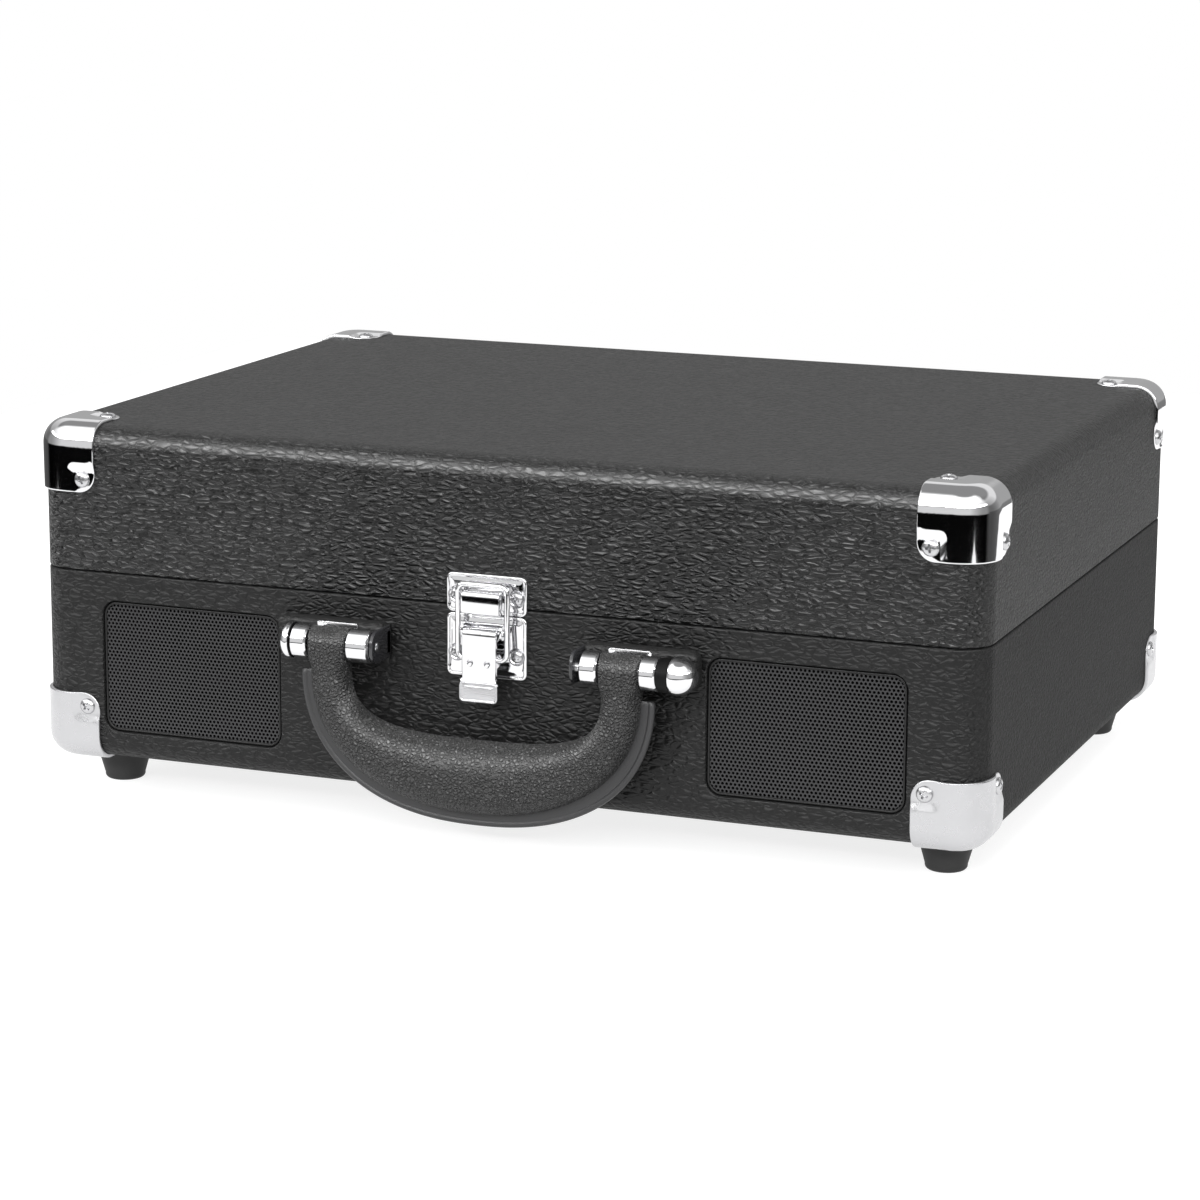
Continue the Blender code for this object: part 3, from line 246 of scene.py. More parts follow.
def turned(profile, centre, axis, steps, flip=1):
    """A turned shape from (radius, height) points, with its heights along axis 0, 1 or 2."""
    frames = {0: ((0, 1, 0), (0, 0, 1)), 1: ((0, 0, 1), (1, 0, 0)), 2: ((1, 0, 0), (0, 1, 0))}
    across, up = (Vector(v) for v in frames[axis])
    forward = across.cross(up) * flip
    angles = [2 * math.pi * i / steps for i in range(steps)]
    rings = []
    for radius, height in profile:
        middle = Vector(centre) + forward * height
        if radius <= 0:
            rings.append([middle])
        else:
            rings.append([middle + (across * math.cos(t) + up * math.sin(t)) * radius for t in angles])
    closed = len(rings[0]) > 1 and len(rings[-1]) > 1
    return skin(rings, cyclic=closed)


def rod(radius, low, high, centre, axis, steps):
    """A plain round rod or the cutter of a round hole."""
    return turned([(0, low), (radius, low), (radius, high), (0, high)], centre, axis, steps)


def arc(centre, radius, start, end, steps):
    """Points (u, v) along an arc, its angles in degrees."""
    points = []
    for i in range(steps + 1):
        angle = math.radians(start + (end - start) * i / steps)
        points.append((centre[0] + radius * math.cos(angle), centre[1] + radius * math.sin(angle)))
    return points


def mesh_from(bm):
    """Turns a bmesh into a mesh with its faces facing outward, and frees it."""
    bmesh.ops.recalc_face_normals(bm, faces=bm.faces)
    mesh = bpy.data.meshes.new("shape")
    bm.to_mesh(mesh)
    bm.free()
    return mesh


def cut(bm, *cutters):
    """The bmesh with cutters taken out of it, one after another."""
    target = bpy.data.objects.new("target", mesh_from(bm))
    bpy.context.scene.collection.objects.link(target)
    helpers = [target]
    for cutter in cutters:
        tool = bpy.data.objects.new("cutter", mesh_from(cutter))
        bpy.context.scene.collection.objects.link(tool)
        helpers.append(tool)
        modifier = target.modifiers.new("cut", "BOOLEAN")
        modifier.operation = "DIFFERENCE"
        modifier.object = tool
    graph = bpy.context.evaluated_depsgraph_get()
    mesh = bpy.data.meshes.new_from_object(target.evaluated_get(graph))
    result = bmesh.new()
    result.from_mesh(mesh)
    bpy.data.meshes.remove(mesh)
    for helper in helpers:
        data = helper.data
        bpy.data.objects.remove(helper, do_unlink=True)
        bpy.data.meshes.remove(data)
    return result


def joined(*shapes):
    """Several bmeshes as one, left as separate closed bodies."""
    whole = bmesh.new()
    for shape in shapes:
        mesh = mesh_from(shape)
        whole.from_mesh(mesh)
        bpy.data.meshes.remove(mesh)
    return whole


def add_piece(name, shape, body, material, replaces=(), sharp=38, weighted=False):
    """Makes a piece from a bmesh in case coordinates and lets it ride on a body."""
    mesh = mesh_from(shape) if isinstance(shape, bmesh.types.BMesh) else shape
    mesh.name = name
    mesh.transform(Matrix.Translation(SHIFT))
    mesh.materials.clear()
    mesh.materials.append(material)
    mesh.shade_smooth()
    mesh.set_sharp_from_angle(angle=math.radians(sharp))
    piece = bpy.data.objects.new(name, mesh)
    bpy.context.scene.collection.objects.link(piece)
    if weighted:
        normals = piece.modifiers.new("even_shading", "WEIGHTED_NORMAL")
        normals.keep_sharp = True
    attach(piece, body)
    if replaces:
        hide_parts(*replaces)
    return piece


# ---------------------------------------------------------------- materials


def node(tree, kind, settings=None, **inputs):
    """Adds a node. An input is a value or the output socket that feeds it; i0, i1 name inputs by number."""
    made = tree.nodes.new(kind)
    for key, value in (settings or {}).items():
        setattr(made, key, value)
    for name, value in inputs.items():
        numbered = name[0] == "i" and name[1:].isdigit()
        socket = made.inputs[int(name[1:])] if numbered else made.inputs[name.replace("_", " ")]
        if isinstance(value, bpy.types.NodeSocket):
            tree.links.new(value, socket)
        else:
            socket.default_value = value
    return made


def new_material(name, colour, roughness, metallic=0.0, **sockets):
    """A Principled material. Returns it with its tree, its shader and the object's own coordinates."""
    material = bpy.data.materials.new(name)
    material.use_nodes = True
    tree = material.node_tree
    shader = tree.nodes["Principled BSDF"]
    shader.inputs["Base Color"].default_value = (*colour, 1)
    shader.inputs["Roughness"].default_value = roughness
    shader.inputs["Metallic"].default_value = metallic
    for key, value in sockets.items():
        shader.inputs[key.replace("_", " ")].default_value = value
    material.diffuse_color = (*colour, 1)
    coords = node(tree, "ShaderNodeTexCoord").outputs["Object"]
    return material, tree, shader, coords


def maths(tree, operation, *values, kind="ShaderNodeMath"):
    """The result of a Math node. Each value is a number or the output socket that feeds it."""
    inputs = {f"i{index}": value for index, value in enumerate(values)}
    return node(tree, kind, {"operation": operation}, **inputs).outputs[0]


def vector_maths(tree, operation, *values):
    """The result of a Vector Math node."""
    return maths(tree, operation, *values, kind="ShaderNodeVectorMath")


def mapped(tree, value, source=(0.0, 1.0), target=(0.0, 1.0), ease="LINEAR"):
    """Maps one range of a value onto another, and holds it at both ends."""
    ranges = {"From_Min": source[0], "From_Max": source[1], "To_Min": target[0], "To_Max": target[1]}
    made = node(tree, "ShaderNodeMapRange", {"interpolation_type": ease}, Value=value, **ranges)
    return made.outputs["Result"]


def placed(tree, coords, rotation, scale):
    """Coordinates scaled, then turned."""
    return node(tree, "ShaderNodeMapping", None, Vector=coords, Rotation=rotation, Scale=scale).outputs[0]


def noise(tree, coords, scale, detail, distortion=0.0):
    """The outputs of a noise texture."""
    settings = {"Scale": scale, "Detail": detail, "Distortion": distortion}
    return node(tree, "ShaderNodeTexNoise", None, Vector=coords, **settings).outputs


def colour_between(tree, factor, first, second):
    """A mix of two colours, each given as (r, g, b) or as the output socket that feeds it."""
    ends = [end if isinstance(end, bpy.types.NodeSocket) else (*end, 1) for end in (first, second)]
    return node(tree, "ShaderNodeMix", {"data_type": "RGBA"}, i0=factor, i6=ends[0], i7=ends[1]).outputs[2]


def add_relief(tree, shader, height, depth):
    """Lets a height between 0 and 1 stand a depth proud of the surface."""
    bump = node(tree, "ShaderNodeBump", None, Strength=1.0, Distance=depth, Height=height)
    tree.links.new(bump.outputs["Normal"], shader.inputs["Normal"])


def leather(name, colour, front_back_shade, line, cell, stretch, depth, roughness, shine, calm=1.0):
    """Embossed leatherette: flat pebbles that slope down to the right, with a painted highlight along their
    upper edges.

    A pebble is a cell high and stretch times as wide. line is the colour of a painted highlight along its
    upper edge. Faces that look forward or back get a painted shade, the darker ground colour given after
    colour; the others get colour, are rougher, and keep only a share, calm, of the painted edge highlights.
    Faces that tilt partly upward, such as the folds over the front and back upper edges and the grip's belly,
    get a painted highlight as well.
    """
    material, tree, shader, coords = new_material(name, colour, roughness, Specular_IOR_Level=shine)
    turn = (0, math.radians(-16), 0)
    sloped = placed(tree, coords, turn, (1 / stretch, 1, 1))
    warp = noise(tree, sloped, 0.5 / cell, 2.0)["Color"]
    centred = vector_maths(tree, "SUBTRACT", warp, (0.5,) * 3)
    shifted = vector_maths(tree, "MULTIPLY_ADD", centred, (cell * 1.1,) * 3, sloped)
    above = vector_maths(tree, "ADD", shifted, (0, 0, cell * 0.28))
    edges = {"feature": "DISTANCE_TO_EDGE"}
    here, higher = [
        node(tree, "ShaderNodeTexVoronoi", edges, Vector=place, Scale=1 / cell).outputs["Distance"]
        for place in (shifted, above)
    ]
    # crest marks the upper edge of each pebble, where a highlight is painted into the colour
    crest = mapped(tree, maths(tree, "SUBTRACT", here, higher), (0.10, 0.26), ease="SMOOTHSTEP")
    pebble = mapped(tree, here, (0.0, 0.30), ease="SMOOTHSTEP")
    grain = noise(tree, shifted, 1.1 / cell, 2.0)["Fac"]
    add_relief(tree, shader, maths(tree, "MULTIPLY_ADD", grain, 1.2, pebble), depth)

    normal = node(tree, "ShaderNodeTexCoord").outputs["Normal"]
    parts = node(tree, "ShaderNodeSeparateXYZ", None, Vector=normal).outputs
    # mask for faces that look forward or back: it sets their painted shade and how much painted highlight they
    # keep
    front_facing = mapped(tree, maths(tree, "ABSOLUTE", parts["Y"]), (0.3, 0.9), (calm, 1.0))
    broken = mapped(tree, grain, (0.38, 0.62), (0.3, 1.0))
    patchy = mapped(tree, noise(tree, coords, 38.0, 2.0)["Fac"], (0.35, 0.6), (0.55, 1.0))
    # painted highlight on the pebble edges, broken up by the grain and in patches
    lit = maths(tree, "MULTIPLY", crest, front_facing)
    plain = maths(tree, "MULTIPLY", lit, maths(tree, "MULTIPLY", broken, patchy))
    # painted highlight on faces that tilt partly upward: the folds over the upper edges and the grip's belly
    rising = mapped(tree, parts["Z"], (0.10, 0.40))
    falling = mapped(tree, parts["Z"], (0.40, 0.75), (1.0, 0.0))
    fold_highlight = maths(tree, "MULTIPLY", maths(tree, "MULTIPLY", rising, falling), front_facing)
    share = maths(tree, "MULTIPLY_ADD", fold_highlight, mapped(tree, pebble, target=(0.45, 1.0)), plain)
    share.node.use_clamp = True
    # painted shade: faces that look forward or back take the darker ground colour
    ground = colour_between(tree, front_facing, colour, front_back_shade)
    tree.links.new(colour_between(tree, share, ground, line), shader.inputs["Base Color"])
    rough = mapped(tree, front_facing, target=(roughness + 0.36, roughness))
    tree.links.new(rough, shader.inputs["Roughness"])
    return material


def metal(name, colour, roughness, wave=0.0, scratches=0.0):
    """Plated or bare metal: roughness that varies a little, a faint waviness, and fine scratches."""
    material, tree, shader, coords = new_material(name, colour, roughness, 1.0)
    cloud = noise(tree, coords, 260.0, 4.0)["Fac"]
    uneven = mapped(tree, cloud, target=(roughness * 0.6, roughness * 1.5))
    tree.links.new(uneven, shader.inputs["Roughness"])
    turn = (0, math.radians(38), 0)
    stretched = placed(tree, coords, turn, (400, 400, 6000))
    swell = maths(tree, "MULTIPLY", noise(tree, coords, 120.0, 1.0)["Fac"], wave)
    lines = noise(tree, stretched, 1.0, 2.0)["Fac"]
    add_relief(tree, shader, maths(tree, "MULTIPLY_ADD", lines, scratches, swell), 0.001)
    return material


def plastic(name, colour, roughness, texture=0.00003, **sockets):
    """Moulded plastic or rubber with a fine spark-eroded texture."""
    material, tree, shader, coords = new_material(name, colour, roughness, **sockets)
    add_relief(tree, shader, noise(tree, coords, 1 / 0.0006, 3.0)["Fac"], texture)
    cloud = noise(tree, coords, 45.0, 3.0)["Fac"]
    uneven = mapped(tree, cloud, target=(roughness - 0.05, roughness + 0.07))
    tree.links.new(uneven, shader.inputs["Roughness"])
    light = tuple(c * 1.35 for c in colour)
    tree.links.new(colour_between(tree, cloud, colour, light), shader.inputs["Base Color"])
    return material


def fibres(name, colour, size, depth):
    """Felt, flock or pressed paper: tangled fine fibres with a soft sheen."""
    sheen = {"Sheen_Weight": 0.25, "Sheen_Roughness": 0.5}
    material, tree, shader, coords = new_material(name, colour, 0.95, **sheen)
    tangle = noise(tree, coords, 1 / size, 5.0, 2.0)["Fac"]
    add_relief(tree, shader, tangle, depth)
    light = tuple(c * 1.8 for c in colour)
    tree.links.new(colour_between(tree, tangle, colour, light), shader.inputs["Base Color"])
    return material


def grey(level):
    """A grey as (r, g, b)."""
    return (level,) * 3


LEATHER = leather(
    "leatherette", grey(0.017), grey(0.003), grey(0.150), 0.0018, 2.6, 0.0005, 0.27, 0.36, calm=0.12
)
# The base's copy of the same leatherette, with a darker ground on its sides and much dimmer painted edge
# highlights than the lid's: a shaded copy of the covering.
BASE_LEATHER = leather(
    "base_leatherette", grey(0.011), grey(0.006), grey(0.036), 0.0018, 2.2, 0.0003, 0.40, 0.26, calm=0.12
)
# The grip's copy: its pebble edges and the upper part of its belly carry a painted highlight.
GRIP_LEATHER = leather(
    "grip_leatherette", grey(0.056), grey(0.056), grey(0.180), 0.0013, 1.1, 0.0011, 0.40, 0.26
)
CHROME = metal("chrome", (0.70, 0.70, 0.71), 0.05, wave=0.02)
SATIN = metal("satin_chrome", (0.50, 0.50, 0.51), 0.22, wave=0.02, scratches=0.05)
CORNER_SATIN = metal("corner_satin", (0.50, 0.50, 0.51), 0.28, wave=0.004)
STEEL = metal("steel", (0.58, 0.58, 0.59), 0.26, wave=0.01, scratches=0.01)
RUBBER = plastic("rubber", grey(0.012), 0.62)
WELT = plastic("welt", (0.026, 0.026, 0.027), 0.40)
PLASTIC = plastic("black_plastic", (0.014, 0.014, 0.015), 0.42)
GLOSS = plastic("gloss_plastic", (0.020, 0.020, 0.022), 0.16, texture=0.000002, Coat_Weight=0.4)
GRILLE = plastic("grille_metal", (0.017, 0.017, 0.018), 0.42, texture=0.00001)
# The frame round each grille: its near-black colour is a painted shadow gap.
GRILLE_EDGE_SHADE = plastic("grille_edge_shade", grey(0.006), 0.30, texture=0.00001, Specular_IOR_Level=0.3)
WASHER = plastic("washer_black", grey(0.003), 0.45, Specular_IOR_Level=0.12)
CLOTH = plastic("speaker_cloth", grey(0.0015), 0.90, texture=0.00005, Specular_IOR_Level=0.0)
PAPER = fibres("cone_paper", (0.020, 0.020, 0.019), 0.0005, 0.00010)
FELT = fibres("felt", (0.012, 0.012, 0.013), 0.0004, 0.00015)
RED = plastic("red_plastic", (0.35, 0.012, 0.010), 0.30, texture=0.00001)
WHITE = plastic("white_plastic", (0.62, 0.62, 0.60), 0.32, texture=0.00001)
BOARD = plastic("circuit_board", (0.015, 0.085, 0.035), 0.40)

# ---------------------------------------------------------------- case


def rounded_ring(half_x, half_y, radius, z, steps=10):
    """A rounded rectangle at one level, anticlockwise from its right side."""
    ring = []
    radius = max(radius, 0.0004)
    for start, sx, sy in ((0, 1, 1), (90, -1, 1), (180, -1, -1), (270, 1, -1)):
        centre = (sx * (half_x - radius), sy * (half_y - radius))
        ring += [(x, y, z) for x, y in arc(centre, radius, start, start + 90, steps)]
    return ring


def plate_ring(low, high, inset, y, radius):
    """A rounded rectangle inside two corners (x, z), at one depth."""
    middle = [(a + b) / 2 for a, b in zip(low, high)]
    half = [(b - a) / 2 - inset for a, b in zip(low, high)]
    return [(middle[0] + u, w, middle[1] + v) for u, v, w in rounded_ring(*half, radius - inset, y, 8)]


def case_ring(inset, z):
    """The case's outline at one level, moved inward."""
    return rounded_ring(HALF_WIDTH - inset, HALF_DEPTH - inset, SIDE_RADIUS - inset, z)


def tray(outer, seam, ledge, ledge_inset, inside, cavity_inset, up):
    """A hollow tray from its outer face, over its open edge, to its inside face. up is +1 for the base."""
    rows = []
    for inset, height in arc((RIM_RADIUS, RIM_RADIUS), RIM_RADIUS, 270, 180, 10):
        rows.append(case_ring(inset, outer + up * height))
    middle = seam - up * SEAM_RADIUS
    for inset, height in arc((SEAM_RADIUS, 0), SEAM_RADIUS, 180, 90, 4):
        rows.append(case_ring(inset, middle + up * height))
    for inset, height in arc((ledge_inset - SEAM_RADIUS, 0), SEAM_RADIUS, 90, 0, 4):
        rows.append(case_ring(inset, middle + up * height))
    rows.append(case_ring(ledge_inset, ledge))
    if cavity_inset > ledge_inset:
        rows.append(case_ring(cavity_inset, ledge))
        rows.append(case_ring(cavity_inset, inside))
    return skin(rows)


def rounded_pocket(low, high, y_front, y_back, radius):
    """A cutter through the front wall, with rounded corners."""
    return bevel(box((low[0], y_front, low[1]), (high[0], y_back, high[1])), radius, 8, along(1))


def case():
    """The covered base tray, cut for its grilles, speakers and sockets, and the lid."""
    base = tray(BASE_BOTTOM, BASE_TOP, LEDGE, LEDGE_INSET, BASE_BOTTOM + WALL, CAVITY_INSET, 1)
    gap = 0.0004
    cutters = []
    for _, side in SIDES:
        low, high = local_box(f"speaker_grille_{side}")
        ends = (low.x - gap, low.z - gap), (high.x + gap, high.z + gap)
        cutters.append(rounded_pocket(*ends, -0.14, POCKET_DEPTH - HALF_DEPTH, GRILLE_RADIUS))
        centre = (low + high) / 2
        cutters.append(rod(SPEAKER_HOLE, -0.02, 0.02, (centre.x, -HALF_DEPTH, centre.z), 1, 48))
    low, high = local_box("rear_jack_panel")
    lip = 0.003
    ends = (low.x + lip, low.z + lip), (high.x - lip, high.z - lip)
    cutters.append(rounded_pocket(*ends, 0.115, 0.14, 0.003))
    base = cut(base, *cutters)
    mouths = [
        edge
        for edge in base.edges
        if all(abs(vert.co.y + HALF_DEPTH) < 1e-6 for vert in edge.verts) and edge.calc_face_angle(0) > 1.0
    ]
    round_edges(base, mouths, 0.0006, 3)
    add_piece("base_cover", base, "base", BASE_LEATHER, ["base_shell"], weighted=True)

    lid = tray(LID_TOP, LID_BOTTOM, LID_TOP - WALL, WALL, 0, 0, -1)
    add_piece("lid_cover", lid, "lid", LEATHER, ["lid_shell"], weighted=True)


# ---------------------------------------------------------------- metal corners and screws


def case_distance(a, b, c):
    """Distance outside the case's rounded corner, at depths a, b and c inside its side, front and top."""
    p = SIDE_RADIUS - a
    q = SIDE_RADIUS - b
    side = math.hypot(max(p, 0), max(q, 0)) + min(max(p, q), 0) - SIDE_RADIUS
    p = side + RIM_RADIUS
    q = RIM_RADIUS - c
    return math.hypot(max(p, 0), max(q, 0)) + min(max(p, q), 0) - RIM_RADIUS


def on_case(point, proud):
    """Moves a point of the square corner onto the rounded case, a distance proud of it."""
    centre = Vector((CORNER_REACH,) * 3)
    ray = Vector(point) - centre
    low = 0.3
    high = 1.4
    for _ in range(28):
        middle = (low + high) / 2
        if case_distance(*(centre + ray * middle)) < proud:
            low = middle
        else:
            high = middle
    return centre + ray * low


def pad_depth(u, v):
    """How far a point of a corner's face lies inside the lowered pad round its screw."""
    start = CORNER_REACH - PAD_SIZE
    p = max(PAD_ROUND - (u - start), 0)
    q = max(PAD_ROUND - (v - start), 0)
    if p == 0 and q == 0:
        return min(u, v) - start
    return PAD_ROUND - math.hypot(p, q)


def corner_height(u, v):
    """How proud the corner's metal stands at a point of its face: raised body, slope, lowered pad."""
    share = min(max(pad_depth(u, v) / PAD_SLOPE, 0), 1)
    return CORNER_PROUD + (PAD_PROUD - CORNER_PROUD) * share


def reach_depth(end, depth, margin):
    """How far along the line to the outline the pad gets to a depth, kept a margin short of the outline."""
    low = 0.0
    high = 1 - margin / math.hypot(*end)
    if pad_depth(end[0] * high, end[1] * high) < depth:
        return high
    for _ in range(24):
        middle = (low + high) / 2
        if pad_depth(end[0] * middle, end[1] * middle) < depth:
            low = middle
        else:
            high = middle
    return low


def corner_outline():
    """One face's outline (u, v), from the edge at v = 0 to the edge at u = 0, without its last point."""
    reach = CORNER_REACH
    straight = reach - CORNER_ROUND
    steps = 16
    points = [(reach, straight * i / steps) for i in range(steps)]
    points += arc((straight, straight), CORNER_ROUND, 0, 90, 12)
    points += [(straight * (1 - i / steps), reach) for i in range(1, steps)]
    return points


def corner_shape():
    """A corner protector in depths (a, b, c) inside the case's side, front and top planes."""
    roll = 0.00045
    rolled = [(1.0, 1.0), (0.6, 0.917), (0.25, 0.66), (0.07, 0.37), (0.0, 0.0)]
    inner = 0.00015
    columns = []
    for face in range(3):
        for end in corner_outline():
            length = math.hypot(*end)
            slope_start = reach_depth(end, 0.0, 0.0022)
            slope_end = reach_depth(end, PAD_SLOPE, 0.0012)
            soft = 0.0002 / length
            body_rows = 18
            stations = [slope_start * i / body_rows for i in range(1, body_rows)]
            stations += [slope_start - soft, slope_start + soft]
            stations += [max(slope_end - soft, slope_start + 1.5 * soft)]
            stations += [max(slope_end + soft, slope_start + 2 * soft)]
            last = 1 - roll / length
            stations += [(slope_end + soft + last) / 2]
            rows = [(t, corner_height(end[0] * t, end[1] * t)) for t in stations]
            edge_height = corner_height(end[0] * last, end[1] * last)
            rows += [(1 - roll * d / length, inner + (edge_height - inner) * h) for d, h in rolled]
            rows += [(t, inner) for t in (0.96, 0.75, 0.5, 0.25)]
            column = []
            for t, proud in rows:
                u, v = end[0] * t, end[1] * t
                point = {0: (u, 0, v), 1: (0, v, u), 2: (v, u, 0)}[face]
                column.append(on_case(point, proud))
            columns.append(column)
    top = on_case((0, 0, 0), CORNER_PROUD)
    under = on_case((0, 0, 0), inner)
    rings = [[top]] + [list(ring) for ring in zip(*columns)] + [[under]]
    return mesh_from(skin(rings))


def corner_frame(side, end, level, up):
    """The matrix from depths inside the planes to case coordinates."""
    matrix = Matrix.Diagonal((-side, -end, up, 1))
    matrix.translation = (side * HALF_WIDTH, end * HALF_DEPTH, level)
    return matrix


def screw_shape(radius):
    """A pan-head screw's head facing +Z, its seat at z = 0, with a cross recess."""
    height = radius * 0.5
    profile = [(0, height), (radius * 0.35, height * 0.97), (radius * 0.62, height * 0.86)]
    profile += [(radius * 0.85, height * 0.62), (radius * 0.97, height * 0.30), (radius, 0)]
    profile += [(radius, -0.0004), (0, -0.0004)]
    head = turned(profile, (0, 0, 0), 2, 32)
    slot = radius * 0.15
    reach = radius * 0.60
    arms = []
    for turn in (0, 90):
        arm = box((-reach, -slot, height * 0.25), (reach, slot, height * 1.2))
        for vert in arm.verts:
            if vert.co.z < height:
                vert.co.x *= 0.55
                vert.co.y *= 0.8
        quarter = Matrix.Rotation(math.radians(turn), 3, "Z")
        bmesh.ops.rotate(arm, cent=(0, 0, 0), matrix=quarter, verts=arm.verts)
        arms.append(arm)
    return mesh_from(cut(head, *arms))


SCREWS = {}


def add_screw(name, place, outward, body, radius, turn, finish=SATIN):
    """A screw at a place in case coordinates, its head facing outward, turned in degrees."""
    key = (radius, finish.name)
    if key not in SCREWS:
        mesh = screw_shape(radius)
        mesh.name = "screw_head"
        mesh.materials.clear()
        mesh.materials.append(finish)
        mesh.shade_smooth()
        mesh.set_sharp_from_angle(angle=math.radians(38))
        SCREWS[key] = mesh
    piece = bpy.data.objects.new(name, SCREWS[key])
    bpy.context.scene.collection.objects.link(piece)
    aim = Vector(outward).to_track_quat("Z", "Y").to_matrix().to_4x4()
    spin = Matrix.Rotation(math.radians(turn), 4, "Z")
    piece.matrix_world = Matrix.Translation(Vector(place) + SHIFT) @ aim @ spin
    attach(piece, body)


def corners():
    """Eight corner protectors with a screw in each lowered pad, but none under the case."""
    shape = corner_shape()
    seat = PAD_PROUD - 0.0001
    far = SCREW_INSET
    count = 0
    for body, level, up, finish in (("base", BASE_BOTTOM, 1, CORNER_SATIN), ("lid", LID_TOP, -1, CHROME)):
        for end, end_name in ENDS:
            for side, side_name in SIDES:
                matrix = corner_frame(side, end, level, up)
                mesh = shape.copy()
                mesh.transform(matrix)
                if matrix.determinant() < 0:
                    mesh.flip_normals()
                label = f"{body}_{end_name}_{side_name}"
                replaced = [f"corner_{label}"]
                add_piece(f"metal_corner_{label}", mesh, body, finish, replaced, sharp=60)
                faces = [("end", (far, -seat, far), (0, end, 0)), ("side", (-seat, far, far), (side, 0, 0))]
                if body == "lid":
                    faces.append(("flat", (far, far, -seat), (0, 0, -up)))
                for face, place, outward in faces:
                    count += 1
                    turn = (count * 53) % 90
                    name = f"corner_screw_{label}_{face}"
                    add_screw(name, matrix @ Vector(place), outward, body, 0.0030, turn)


# ---------------------------------------------------------------- feet and grilles


def feet():
    """Four tapered rubber feet with a rounded sole."""
    rounding = 0.0016
    for _, end in ENDS:
        for _, side in SIDES:
            label = f"foot_{end}_{side}"
            low, high = local_box(label)
            centre = (low + high) / 2
            top = (high.x - low.x) / 2
            bottom = top - 0.0031
            profile = [(0, high.z), (top - 0.0003, high.z), (top, high.z - 0.0004)]
            profile += arc((bottom - rounding, rounding), rounding, 12, -90, 7)
            profile += [(0.0034, 0), (0.0030, 0.0006), (0, 0.0006)]
            foot = turned(profile, (centre.x, centre.y, 0), 2, 56)
            add_piece(f"rubber_{label}", foot, "base", RUBBER, [label])


def perforated(low, high, y_front, y_back):
    """A sheet with a staggered pattern of six-sided holes between two corners (x, z)."""
    bm = bmesh.new()
    made = {}

    def vertex(x, y, z):
        """The one vertex at a place."""
        key = (round(x * 1e6), round(y * 1e6), round(z * 1e6))
        if key not in made:
            made[key] = bm.verts.new((x, y, z))
        return made[key]

    row_height = GRILLE_PITCH * math.sqrt(3) / 2
    cell = GRILLE_PITCH / math.sqrt(3)
    margin = 0.0007
    inner_radius = GRILLE_RADIUS - margin
    middle = [(a + b) / 2 for a, b in zip(low, high)]
    half = [(b - a) / 2 for a, b in zip(low, high)]
    straight = [value - margin - inner_radius for value in half]
    rows = int(half[1] / row_height) + 1
    columns = int(half[0] / GRILLE_PITCH) + 1
    angles = [math.radians(30 + 60 * k) for k in range(6)]
    for row in range(-rows, rows + 1):
        for column in range(-columns, columns + 1):
            x = middle[0] + (column + 0.5 * (row % 2)) * GRILLE_PITCH
            z = middle[1] + row * row_height
            past_x = max(abs(x - middle[0]) - straight[0], 0)
            past_z = max(abs(z - middle[1]) - straight[1], 0)
            if math.hypot(past_x, past_z) > inner_radius:
                continue
            for a, b in zip(angles, angles[1:] + angles[:1]):
                outline = [(x + cell * math.cos(t), z + cell * math.sin(t)) for t in (a, b)]
                outline += [(x + GRILLE_HOLE * math.cos(t), z + GRILLE_HOLE * math.sin(t)) for t in (b, a)]
                front = [vertex(p, y_front, q) for p, q in outline]
                back = [vertex(p, y_back, q) for p, q in outline]
                bm.faces.new(front)
                bm.faces.new(reversed(back))
                bm.faces.new((front[3], front[2], back[2], back[3]))
    open_edges = [edge for edge in bm.edges if len(edge.link_faces) == 1]
    for edge in open_edges:
        if all(abs(vert.co.y - y_front) < 1e-9 for vert in edge.verts):
            (x0, _, z0), (x1, _, z1) = (vert.co for vert in edge.verts)
            bm.faces.new((*edge.verts, vertex(x1, y_back, z1), vertex(x0, y_back, z0)))
    return bm


def rim_frame(low, high, y_front, y_back, width, radius):
    """A rounded frame round a rectangle (x, z), its front edge softly rolled."""
    roll = width * 0.45
    section = [(0, y_back), (0, y_front + roll)]
    section += [(roll - x, y) for x, y in arc((0, y_front + roll), roll, 0, -90, 4)][1:]
    section += [(width - roll + x, y) for x, y in arc((0, y_front + roll), roll, -90, 0, 4)]
    section += [(width, y_back)]
    return skin([plate_ring(low, high, inset, y, radius) for inset, y in section], cyclic=True)


def grilles():
    """A perforated plate in each pocket, inside a pressed frame whose near-black colour is a painted shadow
    gap, with black cloth behind it.
    """
    back = POCKET_DEPTH - HALF_DEPTH
    for _, side in SIDES:
        grille = f"speaker_grille_{side}"
        low, high = local_box(grille)
        ends = (low.x, low.z), (high.x, high.z)
        plate = perforated(*ends, low.y + 0.0002, low.y + 0.0006)
        add_piece(f"perforated_grille_{side}", plate, "base", GRILLE, [grille], sharp=20)
        border = rim_frame(*ends, low.y - 0.0002, high.y, 0.0009, GRILLE_RADIUS - 0.0004)
        add_piece(f"grille_frame_{side}", border, "base", GRILLE_EDGE_SHADE)
        near, far = (low.x, back - 0.0005, low.z), (high.x, back - 0.0001, high.z)
        cloth = soft_box(near, far, 1, GRILLE_RADIUS, 0.0001)
        add_piece(f"speaker_cloth_{side}", cloth, "base", CLOTH)


# ---------------------------------------------------------------- handle


def ray_length(reach, power, angle):
    """How far a superellipse reaches in a direction."""
    across = abs(math.cos(angle)) / reach[0]
    down = abs(math.sin(angle)) / reach[1]
    return (across**power + down**power) ** (-1 / power)


